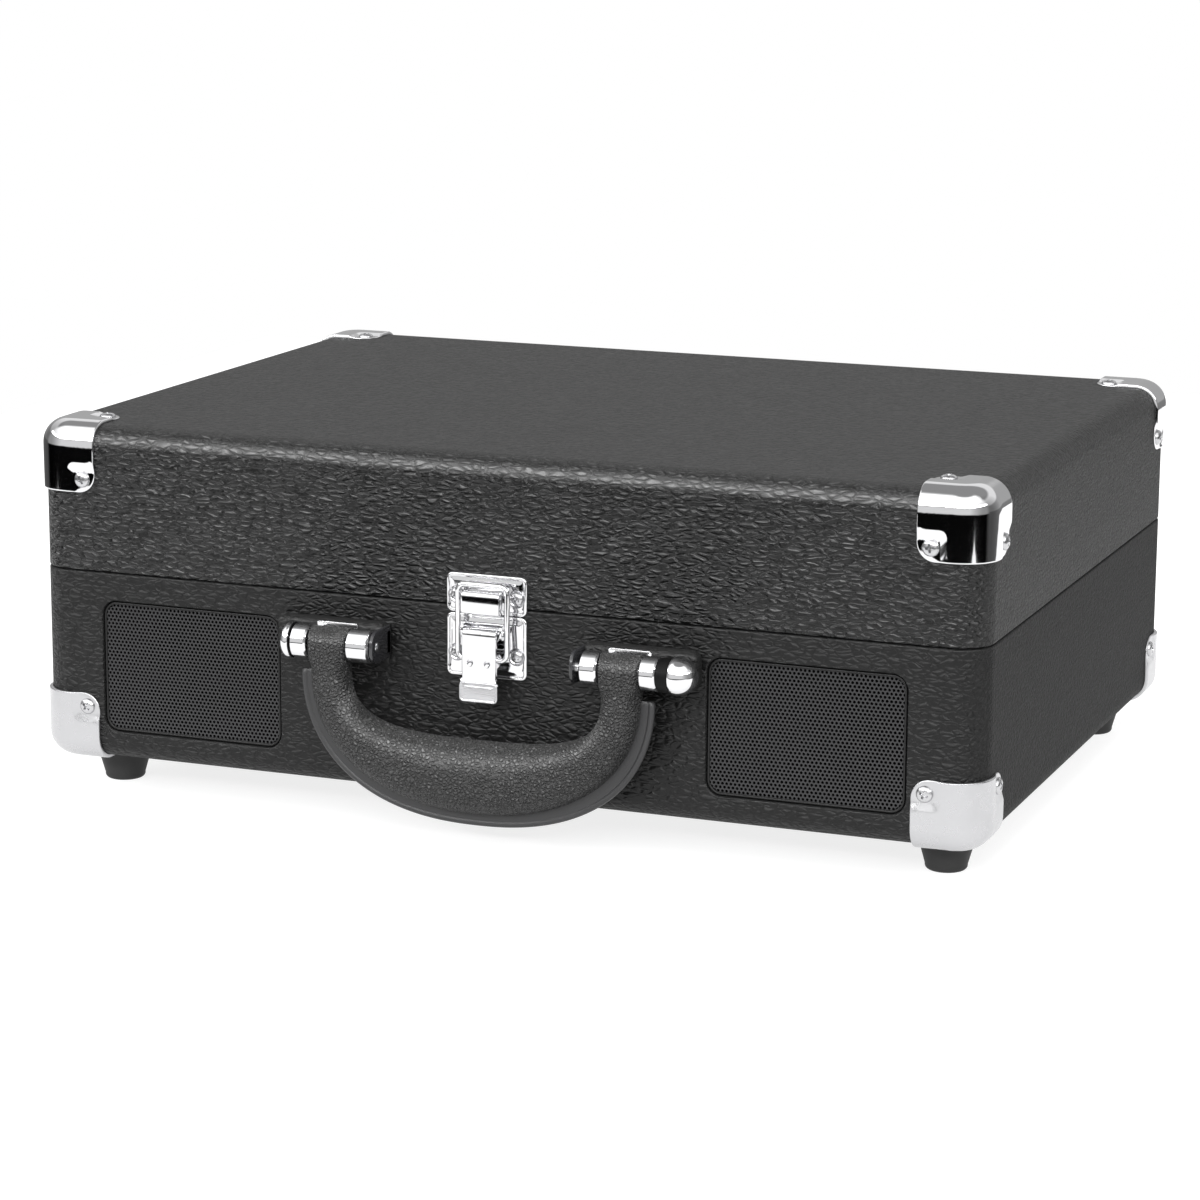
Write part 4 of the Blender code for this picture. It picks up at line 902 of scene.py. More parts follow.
def oval(middle, outward, half_width, half_depth, power, steps=28):
    """A ring across the grip: a superellipse between its inner and outer edge."""
    ring = []
    for i in range(steps):
        t = 2 * math.pi * i / steps
        u = half_width * math.copysign(abs(math.cos(t)) ** (2 / power), math.cos(t))
        v = half_depth * math.copysign(abs(math.sin(t)) ** (2 / power), math.sin(t))
        ring.append(middle + outward * u + Vector((0, v, 0)))
    return ring


def grip_leg(side):
    """Rings of one leg, from over its eye down to where the arch starts."""
    near, far = GRIP_END
    sections = []
    for angle in (89, 80, 65, 50, 35, 20, 8):
        turn = math.radians(angle)
        height = HANDLE_Z + GRIP_EYE_RADIUS * math.sin(turn)
        sections.append((height, near, far, GRIP_EYE_RADIUS * math.cos(turn), 9.0))
    for share in (0.0, 0.25, 0.5, 0.75):
        height = HANDLE_Z + (GRIP_SPRING_Z - HANDLE_Z) * share
        low = near + (GRIP_INNER[0] - near) * share
        high = far + (GRIP_OUTER[0] - far) * share
        sections.append((height, low, high, GRIP_EYE_RADIUS, 9.0 - 6.4 * share**1.4))
    rings = []
    for height, low, high, depth, power in sections:
        middle = Vector((side * (low + high) / 2, HANDLE_Y, height))
        rings.append(oval(middle, Vector((side, 0, 0)), (high - low) / 2, depth, power))
    return rings


def grip_shape():
    """A padded arch with an eye at each end, bored for the pins."""
    rings = grip_leg(1)
    steps = 72
    for i in range(steps + 1):
        angle = math.pi * i / steps
        outward = Vector((math.cos(angle), 0, -math.sin(angle)))
        inner = ray_length(GRIP_INNER, GRIP_INNER_POWER, angle)
        outer = ray_length(GRIP_OUTER, GRIP_OUTER_POWER, angle)
        swell = math.sin(angle) ** 0.7 if 0 < i < steps else 0
        depth = GRIP_EYE_RADIUS + (GRIP_HALF_DEPTH - GRIP_EYE_RADIUS) * swell
        middle = Vector((0, HANDLE_Y, GRIP_SPRING_Z)) + outward * (inner + outer) / 2
        power = 2.6 - 0.35 * swell
        rings.append(oval(middle, outward, (outer - inner) / 2, depth, power))
    rings += reversed(grip_leg(-1))
    bores = [rod(0.0034, side * 0.040, side * 0.068, HANDLE_PIN, 0, 24) for side, _ in SIDES]
    return cut(skin(rings), *bores)


def welt_shape():
    """The flat welt round the grip's outside, with a round bead along its edge and tapered ends."""
    bead = 0.0013
    flat = 0.0009
    section = [(-0.0065, -flat), (-0.0022, -flat)]
    section += arc((-bead, 0), bead, -135, 135, 10)
    section += [(-0.0022, flat), (-0.0065, flat)]
    steps = 84
    start = math.radians(1.6)
    spans = [(0.0, 0.55), (0.0035, 0.9)] + [(0.008 + 0.984 * i / steps, 1.0) for i in range(steps + 1)]
    spans += [(0.9965, 0.9), (1.0, 0.55)]
    rings = []
    for share, scale in spans:
        angle = start + (math.pi - 2 * start) * share
        outward = Vector((math.cos(angle), 0, -math.sin(angle)))
        reach = ray_length(WELT_OUTER, WELT_POWER, angle)
        origin = Vector((0, WELT_Y, GRIP_SPRING_Z)) + outward * reach
        drop = (1 - scale) * 0.0012
        rings.append([origin + outward * (u - drop) + Vector((0, v * scale, 0)) for u, v in section])
    return skin(rings)


def pivot_shape(side, inner_start, cap_start, cap_length):
    """The barrel's two collars on their pin, and the domed cap, turned about the pin."""
    collar = BARREL_RADIUS
    pin = 0.0029
    profile = [(0, 0.0360), (0.0014, 0.0361), (0.0020, 0.0366), (0.0020, inner_start - 0.0002)]
    profile += [(collar - 0.0007, inner_start), (collar, inner_start + 0.0006)]
    profile += [(collar, 0.0461), (collar - 0.0006, 0.0467), (pin, 0.0468), (pin, 0.0619)]
    profile += [(collar - 0.0006, 0.0620), (collar, 0.0626), (collar, 0.0675), (collar - 0.0005, 0.0680)]
    profile += [(pin, COLLAR_END), (pin, cap_start - 0.0003), (CAP_RADIUS - 0.0004, cap_start - 0.0002)]
    steps = 16
    for i in range(steps + 1):
        turn = math.radians(-14 + 104 * i / steps)
        reach = cap_start + cap_length * (math.sin(turn) + 0.25) / 1.25
        profile.append((CAP_RADIUS * math.cos(turn) if i < steps else 0, reach))
    return turned([(radius, side * x) for radius, x in profile], HANDLE_PIN, 0, 64)


def washer_shape(side, cap_start):
    """The flared black washer between the barrel's outer collar and its cap."""
    profile = [(0.0031, COLLAR_END), (0.0054, COLLAR_END), (0.0057, 0.0683), (0.0063, cap_start - 0.0004)]
    profile += [(0.0062, cap_start - 0.0003), (0.0031, cap_start - 0.0003)]
    return turned([(radius, side * x) for radius, x in profile], HANDLE_PIN, 0, 56)


def handle():
    """The grip with its welt, and on each side a covered block, a cheek, a plate, the barrel and a washer."""
    grip = add_piece("grip", grip_shape(), "handle", GRIP_LEATHER, ["handle_grip"], sharp=50)
    add_piece("grip_welt", welt_shape(), "handle", WELT)
    z = HANDLE_Z
    for side, label in SIDES:
        near, far = sorted((side * 0.0366, side * 0.0790))
        block = soft_box((near, -0.1356, z - 0.0068), (far, -0.1290, z + 0.0068), 1, 0.0030, 0.0018)
        bracket = [f"handle_bracket_{label}"]
        add_piece(f"handle_block_{label}", block, "base", BASE_LEATHER, bracket, sharp=50)
        near, far = sorted((side * 0.0366, side * 0.0379))
        cheek = box((near, -0.1466, z - 0.0058), (far, -0.1310, z + 0.0058))
        bevel(cheek, 0.0048, 8, lambda a, b: a.y < -0.14 and b.y < -0.14 and abs(a.x - b.x) > 1e-4)
        bevel(cheek, 0.0004, 2, lambda a, b: abs(a.x - b.x) < 1e-6)
        add_piece(f"handle_cheek_{label}", cheek, "base", GLOSS, sharp=50)
        near, far = sorted((side * 0.0470, side * 0.0626))
        plate = soft_box((near, -0.1361, z - 0.0066), (far, -0.1355, z + 0.0061), 1, 0.0008, 0.0001)
        add_piece(f"handle_plate_{label}", plate, "base", CHROME)
        inner_start, cap_start, cap_length = CAPS[label]
        barrel = pivot_shape(side, inner_start, cap_start, cap_length)
        pivot = [f"handle_pivot_{label}"]
        add_piece(f"handle_barrel_{label}", barrel, "base", CHROME, pivot, sharp=40)
        washer = washer_shape(side, cap_start)
        add_piece(f"handle_washer_{label}", washer, "base", WASHER)


# ---------------------------------------------------------------- latch


def pressed_plate(low, high, y_back, y_front, radius, rim, sink):
    """A plate with a raised rolled rim, then a groove, round a slightly crowned field."""
    roll = 0.0004
    field = y_front + sink
    rows = [(0.0, y_back), (0.0, y_front + roll), (roll * 0.3, y_front + roll * 0.3), (roll, y_front)]
    rows += [(rim - roll * 0.6, y_front), (rim - roll * 0.1, y_front + roll * 0.3), (rim, field)]
    rows += [(rim + 0.0003, field + 0.0001), (rim + 0.0007, field - 0.0001), (rim + 0.0016, field - 0.00022)]
    return skin([plate_ring(low, high, inset, y, radius) for inset, y in rows])


def latch_plate(low, high, screws):
    """A pressed latch plate with a dished seat for each screw."""
    plate = pressed_plate(low, high, -HALF_DEPTH, LATCH_FACE, 0.0022, 0.0012, 0.00035)
    profile = [(0, 0.00085), (0.0026, 0.00075), (0.0031, 0.00030), (0.0034, -0.0006), (0, -0.0006)]
    return cut(plate, *(turned(profile, (x, LATCH_FACE, z), 1, 36) for x, z in screws))


def swept(section, half, edge):
    """A strip with a profile (y, z), run along X across the middle, its ends softly rounded."""
    middle = [sum(values) / len(section) for values in zip(*section)]
    rows = [(-half, 0.94), (-half + edge * 0.35, 0.985), (-half + edge, 1.0)]
    rows += [(half - edge, 1.0), (half - edge * 0.35, 0.985), (half, 0.94)]
    rings = []
    for x, scale in rows:
        rings.append([(x, *(m + (v - m) * scale for m, v in zip(middle, point))) for point in section])
    return skin(rings)


def wire_ring(path, radius):
    """A closed round wire along a closed path."""
    rings = []
    angles = [2 * math.pi * k / 12 for k in range(12)]
    across = Vector((0, 1, 0))
    for i, point in enumerate(path):
        ahead = (Vector(path[(i + 1) % len(path)]) - Vector(path[i - 1])).normalized()
        side = ahead.cross(across)
        rings.append([Vector(point) + (across * math.cos(t) + side * math.sin(t)) * radius for t in angles])
    return skin(rings, cyclic=True)


def keeper_shape():
    """The keeper: a strip folded forward, up its face and over a rolled top that holds the wire."""
    back = LATCH_FACE + 0.0004
    front = KEEPER_FRONT
    section = [(back, 0.0824), (front + 0.0014, 0.0817)]
    section += arc((front + 0.0010, 0.0828), 0.0010, 250, 180, 5)
    section += arc((front + 0.0016, 0.0882), 0.0016, 180, 90, 8)
    section += [(front + 0.0034, 0.0898), (back, 0.0894)]
    return swept(section, KEEPER_HALF_WIDTH, 0.0005)


def lever_shape():
    """The lever: a rolled lip over its pin, a flat face with two lances, and a step to the finger tab."""
    front = LEVER_FRONT
    inside = front + 0.0013
    pin_y, pin_z = LEVER_AXIS
    loop_y, loop_z = LOOP_AXIS
    section = [(front + 0.0002, 0.0588), (front, 0.0596), (front, 0.0745)]
    section += arc((front + 0.0017, 0.0752), 0.0017, 180, 90, 7)
    section += arc((pin_y, pin_z - 0.0002), 0.0018, 60, -60, 7)
    section += [(pin_y, 0.0733), (inside, 0.0728), (inside, 0.0684), (loop_y, 0.0680)]
    section += arc((loop_y, loop_z), 0.0021, 60, -60, 7)
    section += [(loop_y, 0.0636), (inside, 0.0630), (inside, 0.0592)]
    lances = []
    tongues = []
    for side, _ in SIDES:
        x = side * 0.0032
        outline = arc((x, 0.0652), 0.0012, -50, 230, 12)
        lances.append(skin([[(u, y, v) for u, v in outline] for y in (front - 0.0004, front + 0.0010)]))
        profile = [(0, 0.0009), (0.0006, 0.0009), (0.0011, 0.0003), (0.0011, -0.0006), (0, -0.0006)]
        tongues.append(turned(profile, (x, front + 0.0006, 0.0645), 1, 20, flip=-1))
    body = cut(swept(section, LEVER_HALF_WIDTH, 0.0005), *lances)
    section = [(front + 0.0002, 0.0596), (front - 0.0004, 0.0590), (front - 0.0004, 0.0578)]
    section += [(front + 0.0008, 0.0572), (front + 0.0012, 0.0596)]
    return joined(body, swept(section, 0.0066, 0.0004), *tongues)


def latch():
    """A draw latch: two pressed plates with a screw in each dish, keeper, wire loop, lever and finger tab."""
    half = LATCH_HALF_WIDTH
    upper_screws, lower_screws = [[(side * 0.0112, z) for side, _ in SIDES] for z in LATCH_SCREWS_Z]
    upper = latch_plate((-half, LATCH_SPLIT + 0.0003), (half, LATCH_PLATE_HIGH), upper_screws)
    add_piece("latch_upper_plate", upper, "lid", CHROME, ["latch_keeper_plate"], sharp=50)
    add_piece("latch_keeper", keeper_shape(), "lid", CHROME, sharp=50)
    lower = latch_plate((-half, LATCH_PLATE_LOW), (half, LATCH_SPLIT), lower_screws)
    add_piece("latch_lower_plate", lower, "base", CHROME, ["latch_base_plate"], sharp=50)
    pin_y, pin_z = LEVER_AXIS
    ears = []
    for side, _ in SIDES:
        near, far = sorted((side * 0.0068, side * 0.0076))
        ear = box((near, pin_y - 0.0018, pin_z - 0.0025), (far, LATCH_FACE + 0.0006, pin_z + 0.0025))
        ears.append(bevel(ear, 0.0015, 5, lambda a, b: abs(a.x - b.x) > 1e-4 and a.y < -0.133))
    end = [(0.0008, 0.0075), (0.0013, 0.0076), (0.0011, 0.0081), (0, 0.0082)]
    pin = turned([(radius, -x) for radius, x in reversed(end)] + end, (0, pin_y, pin_z), 0, 20)
    add_piece("latch_ears", joined(*ears, pin), "base", CHROME, sharp=50)
    for group, places, body in (("upper", upper_screws, "lid"), ("lower", lower_screws, "base")):
        for index, (x, z) in enumerate(places):
            name = f"latch_screw_{group}_{index + 1}"
            add_screw(name, (x, LATCH_FACE + 0.0006, z), (0, -1, 0), body, 0.0024, 25 + 37 * index)
    add_piece("latch_handle_lever", lever_shape(), "latch_lever", CHROME, ["latch_lever"], sharp=50)
    ends = (-0.00725, 0.0512), (0.00725, 0.0586)
    tab = pressed_plate(*ends, LEVER_FRONT + 0.0006, LEVER_FRONT - 0.0006, 0.0017, 0.0009, 0.00015)
    add_piece("latch_tab", tab, "latch_lever", SATIN, sharp=50)
    loop_y, loop_z = LOOP_AXIS
    bend = 0.0026
    far = LOOP_HALF_WIDTH - bend
    top = LOOP_TOP - bend
    bottom = loop_z + bend
    path = []
    for x, z, start in ((far, top, 0), (-far, top, 90), (-far, bottom, 180), (far, bottom, 270)):
        path += [(u, loop_y, v) for u, v in arc((x, z), bend, start, start + 90, 7)]
    wire = wire_ring(path, 0.0010)
    add_piece("latch_wire_loop", wire, "latch_loop", CHROME, ["latch_loop"], sharp=60)


# ---------------------------------------------------------------- back


def hinges():
    """A butt hinge near each end of the back, each leaf with three screws."""
    half = (HINGE_BOX[1].x - HINGE_BOX[0].x) / 2
    third = half / 3
    gap = 0.00015
    low_z = HINGE_BOX[0].z
    high_z = local_box("hinge_lid_right")[1].z
    wall = HALF_DEPTH - 0.0001
    back = HALF_DEPTH + 0.0013
    knuckle = HINGE_KNUCKLE
    axis = (0, HINGE_Y, HINGE_Z)
    for side, label in SIDES:
        x = side * HINGE_X
        leaf = soft_box((x - half, wall, low_z), (x + half, back, HINGE_Z - 0.0004), 1, 0.0018, 0.0002)
        notch = box((x - third - gap, 0.12, HINGE_Z - 0.0031), (x + third + gap, 0.14, 0.09))
        pieces = [cut(leaf, notch)]
        for place in (-1, 1):
            start = x + place * (third + gap)
            end = x + place * half
            soft = place * 0.0003
            profile = [(0, start), (knuckle - 0.0003, start), (knuckle, start + soft), (knuckle, end - soft)]
            profile += [(knuckle - 0.0003, end), (0.0013, end), (0.0012, end + soft), (0, end + 1.6 * soft)]
            pieces.append(turned(profile, axis, 0, 28))
        leaves = joined(*pieces)
        add_piece(f"hinge_base_leaf_{label}", leaves, "base", STEEL, [f"hinge_base_{label}"])

        leaf = soft_box((x - half, wall, HINGE_Z + 0.0004), (x + half, back, high_z), 1, 0.0018, 0.0002)
        notches = []
        for place in (-1, 1):
            near, far = sorted((x + place * (third - gap), x + place * (half + 0.002)))
            notches.append(box((near, 0.12, 0.07), (far, 0.14, HINGE_Z + 0.0031)))
        start = x - third + gap
        end = x + third - gap
        profile = [(0, start), (knuckle - 0.0003, start), (knuckle, start + 0.0003)]
        profile += [(knuckle, end - 0.0003), (knuckle - 0.0003, end), (0, end)]
        leaves = joined(cut(leaf, *notches), turned(profile, axis, 0, 28))
        add_piece(f"hinge_lid_leaf_{label}", leaves, "lid", STEEL, [f"hinge_lid_{label}"])
        for index, (offset, rise) in enumerate(((-0.011, 0.0115), (0, 0.0140), (0.011, 0.0115))):
            for body, up, turn in (("base", -1, 20 + 31 * index), ("lid", 1, 50 + 43 * index)):
                place = (x + offset, back, HINGE_Z + up * rise)
                name = f"hinge_screw_{body}_{label}_{index + 1}"
                add_screw(name, place, (0, 1, 0), body, 0.0022, turn, STEEL)


def back_sockets():
    """The socket plate inside the back wall, its power socket and its two line-out sockets."""
    low, high = local_box("rear_jack_panel")
    face = high.y
    centre_z = (low.z + high.z) / 2
    middle_x = (low.x + high.x) / 2
    power = (middle_x + 0.015, 0, centre_z)
    lines = [(middle_x - 0.014, 0, centre_z), (middle_x, 0, centre_z)]
    holes = [(power, 0.0055), (lines[0], 0.0045), (lines[1], 0.0045)]
    cutters = [rod(radius, low.y - 0.01, face + 0.01, place, 1, 40) for place, radius in holes]
    plate = cut(soft_box(low, high, 1, 0.002, 0.0002), *cutters)
    add_piece("socket_plate", plate, "base", PLASTIC, ["rear_jack_panel"])
    profile = [(0.0050, face - 0.010), (0.0052, face), (0.0066, face + 0.0002), (0.0068, face + 0.0008)]
    profile += [(0.0062, face + 0.0014), (0.0034, face + 0.0014), (0.0030, face + 0.0008)]
    profile += [(0.0030, face - 0.009)]
    ring = turned(profile, power, 1, 40)
    profile = [(0, face + 0.0002), (0.0007, face - 0.0002), (0.0009, face - 0.001), (0.0009, face - 0.009)]
    profile += [(0.0030, face - 0.009), (0.0030, face - 0.0098), (0, face - 0.0098)]
    contact = turned(profile, power, 1, 24)
    add_piece("power_inlet", joined(ring, contact), "base", GLOSS, ["power_socket"])
    shells = []
    for index, (place, finish) in enumerate(zip(lines, (RED, WHITE))):
        profile = [(0.0032, face - 0.004), (0.0041, face - 0.004), (0.0041, face + 0.0078)]
        profile += [(0.0039, face + 0.0082), (0.0034, face + 0.0082), (0.0032, face + 0.0079)]
        shells.append(turned(profile, place, 1, 40))
        profile = [(0.0014, face - 0.003), (0.0032, face - 0.003), (0.0032, face + 0.0076)]
        profile += [(0.0016, face + 0.0076), (0.0014, face + 0.0072)]
        liner = turned(profile, place, 1, 32)
        add_piece(f"line_out_liner_{index + 1}", liner, "base", finish)
    add_piece("line_out_shells", joined(*shells), "base", CHROME, ["line_out_sockets"])


# ---------------------------------------------------------------- deck


def deck():
    """The moulded deck with its platter well, holes and slots, held by six screws, and its control panel."""
    low, high = local_box("deck_plate")
    edge = 0.0006
    rows = [(0.0003, low.z), (0, low.z + 0.0003), (0, high.z - edge)]
    rows += [(edge * 0.3, high.z - edge * 0.3), (edge, high.z)]
    plate = skin([rounded_ring(high.x - inset, high.y - inset, DECK_ROUND - inset, z) for inset, z in rows])
    floor = DECK_TOP - 0.0009
    well = [(0, floor), (0.0985, floor), (0.0990, DECK_TOP + 0.001), (0, DECK_TOP + 0.001)]
    cutters = [turned(well, (*SPINDLE, 0), 2, 128)]
    holes = [(SPINDLE, 0.0038), (PULLEY, 0.009), (VOLUME, 0.0034), (MODE, 0.0034), (HEADPHONE, 0.0043)]
    holes.append((LIFT_STEM, 0.0018))
    cutters += [rod(radius, *DECK_CUT, (*place, 0), 2, 40) for place, radius in holes]
    for (x, y), travel in ((SPEED, 0.012), (AUTOSTOP, 0.005)):
        near, far = ((x - 0.0015, y - 0.0015, DECK_CUT[0]), (x + travel + 0.0015, y + 0.0015, DECK_CUT[1]))
        cutters.append(soft_box(near, far, 2, 0.0013, 0))
    add_piece("deck_moulding", cut(plate, *cutters), "base", PLASTIC, ["deck_plate"])
    places = [(side * 0.163, end * 0.116) for side, _ in SIDES for end, _ in ENDS]
    places += [(0.108, -0.116), (0.0, 0.119)]
    for index, place in enumerate(places):
        name = f"deck_screw_{index + 1}"
        add_screw(name, (*place, DECK_TOP), (0, 0, 1), "base", 0.0024, 17 * index + 8, STEEL)
    far = (0.1645, -0.0290, DECK_TOP + 0.0006)
    panel = soft_box((0.1400, -0.0935, DECK_TOP - 0.0001), far, 2, 0.004, 0.0002)
    panel = cut(panel, *(rod(0.0036, *DECK_CUT, (*place, 0), 2, 32) for place in (VOLUME, MODE)))
    add_piece("control_panel", panel, "base", GLOSS)
    dome = [(0, 0.0018), (0.0008, 0.0016), (0.0014, 0.0010), (0.0016, 0), (0, 0)]
    for index, (place, finish) in enumerate((((0.1285, -0.108), RED), ((-0.120, -0.112), WHITE))):
        light = turned(dome, (*place, DECK_TOP), 2, 24)
        add_piece(f"deck_lens_{index + 1}", light, "base", finish)


def platter():
    """The platter with its stepped rim and drive ring, the slipmat and the fixed spindle."""
    centre = (*SPINDLE, 0)
    top = PLATTER_TOP
    rim = PLATTER_RADIUS
    under = 0.0826
    floor = 0.0787
    profile = [(0.0038, top), (0.0905, top), (0.0912, top + 0.0001), (rim - 0.0010, top + 0.0001)]
    profile += [(rim - 0.0003, top - 0.0002), (rim, top - 0.0009), (rim, top - 0.0017)]
    profile += [(rim - 0.0005, top - 0.0020), (rim - 0.0005, top - 0.0024), (rim, top - 0.0027)]
    profile += [(rim, top - 0.0041), (rim - 0.0004, top - 0.0045), (rim - 0.003, top - 0.0045)]
    profile += [(rim - 0.003, under), (0.0550, under), (0.0550, floor), (0.0520, floor), (0.0520, under)]
    profile += [(0.012, under), (0.009, floor), (0.0038, floor)]
    add_piece("platter_disc", turned(profile, centre, 2, 144), "platter", STEEL, ["platter"])
    high = MAT_TOP
    profile = [(0.0040, top + 0.0003), (MAT_RADIUS, top + 0.0003), (MAT_RADIUS, high - 0.0006)]
    profile += [(MAT_RADIUS - 0.0006, high)]
    for radius in (0.088, 0.078, 0.068, 0.058):
        profile += [(radius + 0.0006, high), (radius + 0.0003, high - 0.0005)]
        profile += [(radius - 0.0003, high - 0.0005), (radius - 0.0006, high)]
    profile += [(0.0505, high), (0.0500, high - 0.0004), (0.0045, high - 0.0004), (0.0040, high - 0.0008)]
    add_piece("felt_mat", turned(profile, centre, 2, 144), "platter", FELT, ["slipmat"])
    low, high = local_box("spindle_shaft")
    profile = [(0, low.z), (0.0035, low.z), (0.0035, DECK_SEAT), (0.009, DECK_SEAT)]
    profile += [(0.009, DECK_TOP + 0.0010), (0.0086, DECK_TOP + 0.0013), (0.0035, DECK_TOP + 0.0013)]
    profile += [(0.0035, high.z - 0.0042), (0.0033, high.z - 0.0028), (0.0026, high.z - 0.0012)]
    profile += [(0.0015, high.z - 0.0003), (0, high.z)]
    add_piece("spindle_pin", turned(profile, centre, 2, 40), "base", CHROME, ["spindle_shaft"])


def arm_base():
    """The pedestal with the cueing lever's pin on a lug, and the fork that turns on it."""
    x, y = ARM_PIVOT
    foot = DECK_SEAT
    profile = [(0, foot), (0.0165, foot), (0.0165, 0.0816), (0.0161, 0.0826), (0.0150, 0.0834)]
    profile += [(0.0085, 0.0839), (0.0077, 0.0843), (0.0066, 0.0870), (0.0062, 0.0874), (0, 0.0874)]
    pedestal = turned(profile, (x, y, 0), 2, 56)
    cue_y, cue_z = CUE_AXIS
    far = (CUE_X - 0.0045, cue_y + 0.004, cue_z + 0.003)
    lug = soft_box((x + 0.009, cue_y - 0.004, foot), far, 0, 0.0022, 0.0003)
    profile = [(0, CUE_X - 0.0055), (0.0012, CUE_X - 0.0055), (0.0012, CUE_X + 0.0032), (0, CUE_X + 0.0036)]
    pin = turned(profile, (0, cue_y, cue_z), 0, 20)
    add_piece("arm_pedestal", joined(pedestal, lug, pin), "base", PLASTIC, ["tonearm_base"])

    profile = [(0, 0.0877), (0.0112, 0.0877), (0.0115, 0.0880), (0.0115, 0.0893)]
    profile += [(0.0111, 0.0897), (0, 0.0897)]
    pieces = [turned(profile, (x, y, 0), 2, 48)]
    for side, _ in SIDES:
        near, far = sorted((side * 0.0072, side * 0.0098))
        cheek = box((x + near, y - 0.0042, 0.0890), (x + far, y + 0.0042, ARM_Z + 0.0045))
        bevel(cheek, 0.0040, 8, lambda a, b: a.z > ARM_Z and b.z > ARM_Z and abs(a.x - b.x) > 1e-4)
        pieces.append(cut(cheek, rod(0.0018, x - 0.015, x + 0.015, (0, y, ARM_Z), 0, 24)))
    add_piece("arm_fork", joined(*pieces), "tonearm_gimbal", GLOSS, ["tonearm_gimbal"])


def arm():
    """The arm's tube with its counterweight, pins and headshell, and the cartridge with its stylus."""
    x, y = ARM_PIVOT
    end = y - ARM_LENGTH
    tube = ARM_RADIUS
    profile = [(0, end + 0.020), (tube * 0.8, end + 0.020), (tube, end + 0.0206), (tube, y + 0.0140)]
    profile += [(0.0030, y + 0.0142), (0.0066, y + 0.0142), (0.0068, y + 0.0145), (0.0068, y + 0.0180)]
    profile += [(0.0065, y + 0.0184), (0.0065, y + 0.0190), (0.0068, y + 0.0194), (0.0068, y + 0.0254)]
    profile += [(0.0062, y + 0.0260), (0, y + 0.0260)]
    shaft = turned(profile, (x, 0, ARM_Z), 1, 40)
    profile = [(0, x - 0.0097), (0.0013, x - 0.0097), (0.0015, x - 0.0094), (0.0015, x + 0.0094)]
    profile += [(0.0013, x + 0.0097), (0, x + 0.0097)]
    trunnion = turned(profile, (0, y, ARM_Z), 0, 24)
    shell = box((x - 0.0075, end - 0.008, ARM_Z - 0.0015), (x + 0.0075, end + 0.026, ARM_Z + 0.0035))
    for vert in shell.verts:
        if vert.co.y > end:
            vert.co.x = x + (vert.co.x - x) * 0.62

    def outer_edge(a, b):
        """True for the shell's long edges and the upright ones at its tip."""
        return abs(a.y - b.y) > 0.01 or (a.y < end and b.y < end and abs(a.z - b.z) > 1e-3)

    bevel(shell, 0.0013, 4, outer_edge)
    far = (x + 0.014, end + 0.006, ARM_Z + 0.0005)
    finger = soft_box((x + 0.0055, end + 0.002, ARM_Z - 0.001), far, 2, 0.0014, 0.0003)
    whole = joined(shaft, trunnion, shell, finger)
    add_piece("arm_tube", whole, "tonearm", GLOSS, ["tonearm_tube"], sharp=50)
    low, high = local_box("cartridge")
    cartridge = box(low, high)
    bevel(cartridge, 0.0014, 3, lambda a, b: a.z < low.z + 1e-4 and b.z < low.z + 1e-4)
    far = (x + 0.0017, end + 0.004, low.z + 0.0018)
    stylus = soft_box((x - 0.0017, end - 0.0052, low.z + 0.0003), far, 1, 0.0005, 0.0002)
    add_piece("arm_cartridge", cartridge, "tonearm", PLASTIC, ["cartridge"])
    add_piece("stylus_holder", stylus, "tonearm", RED)


def cueing():
    """The curved platform that lifts the arm, on its stem, and the lever that raises it."""
    low = local_box("cue_lift_bar")[0]
    steps = 24
    section = [(0.002, 0.0918), (0.002, 0.0930), (0.0016, 0.0934)]
    section += [(-r, z) for r, z in reversed(section)]
    origin = Vector((*ARM_PIVOT, 0))
    rings = []
    for i in range(steps + 1):
        angle = math.radians(-12 + 74 * i / steps)
        outward = Vector((-math.sin(angle), -math.cos(angle), 0))
        rings.append([origin + outward * (LIFT_BAR_RADIUS + r) + Vector((0, 0, z)) for r, z in section])
    platform = joined(skin(rings), rod(0.0014, low.z, 0.0920, (*LIFT_STEM, 0), 2, 24))
    add_piece("cueing_platform", platform, "cue_lift_bar", GLOSS, ["cue_lift_bar"])

    x = CUE_X
    y, z = CUE_AXIS
    profile = [(0.0015, x - 0.0020), (0.0031, x - 0.0020), (0.0034, x - 0.0017), (0.0034, x + 0.0017)]
    profile += [(0.0031, x + 0.0020), (0.0015, x + 0.0020)]
    hub = turned(profile, (0, y, z), 0, 32)
    far = (x + 0.002, y - 0.002, z + 0.0012)
    reach = soft_box((x - 0.002, y - 0.026, z - 0.0012), far, 2, 0.0016, 0.0004)
    add_piece("cueing_lever", joined(hub, reach), "cue_lever", GLOSS, ["cue_lever"])


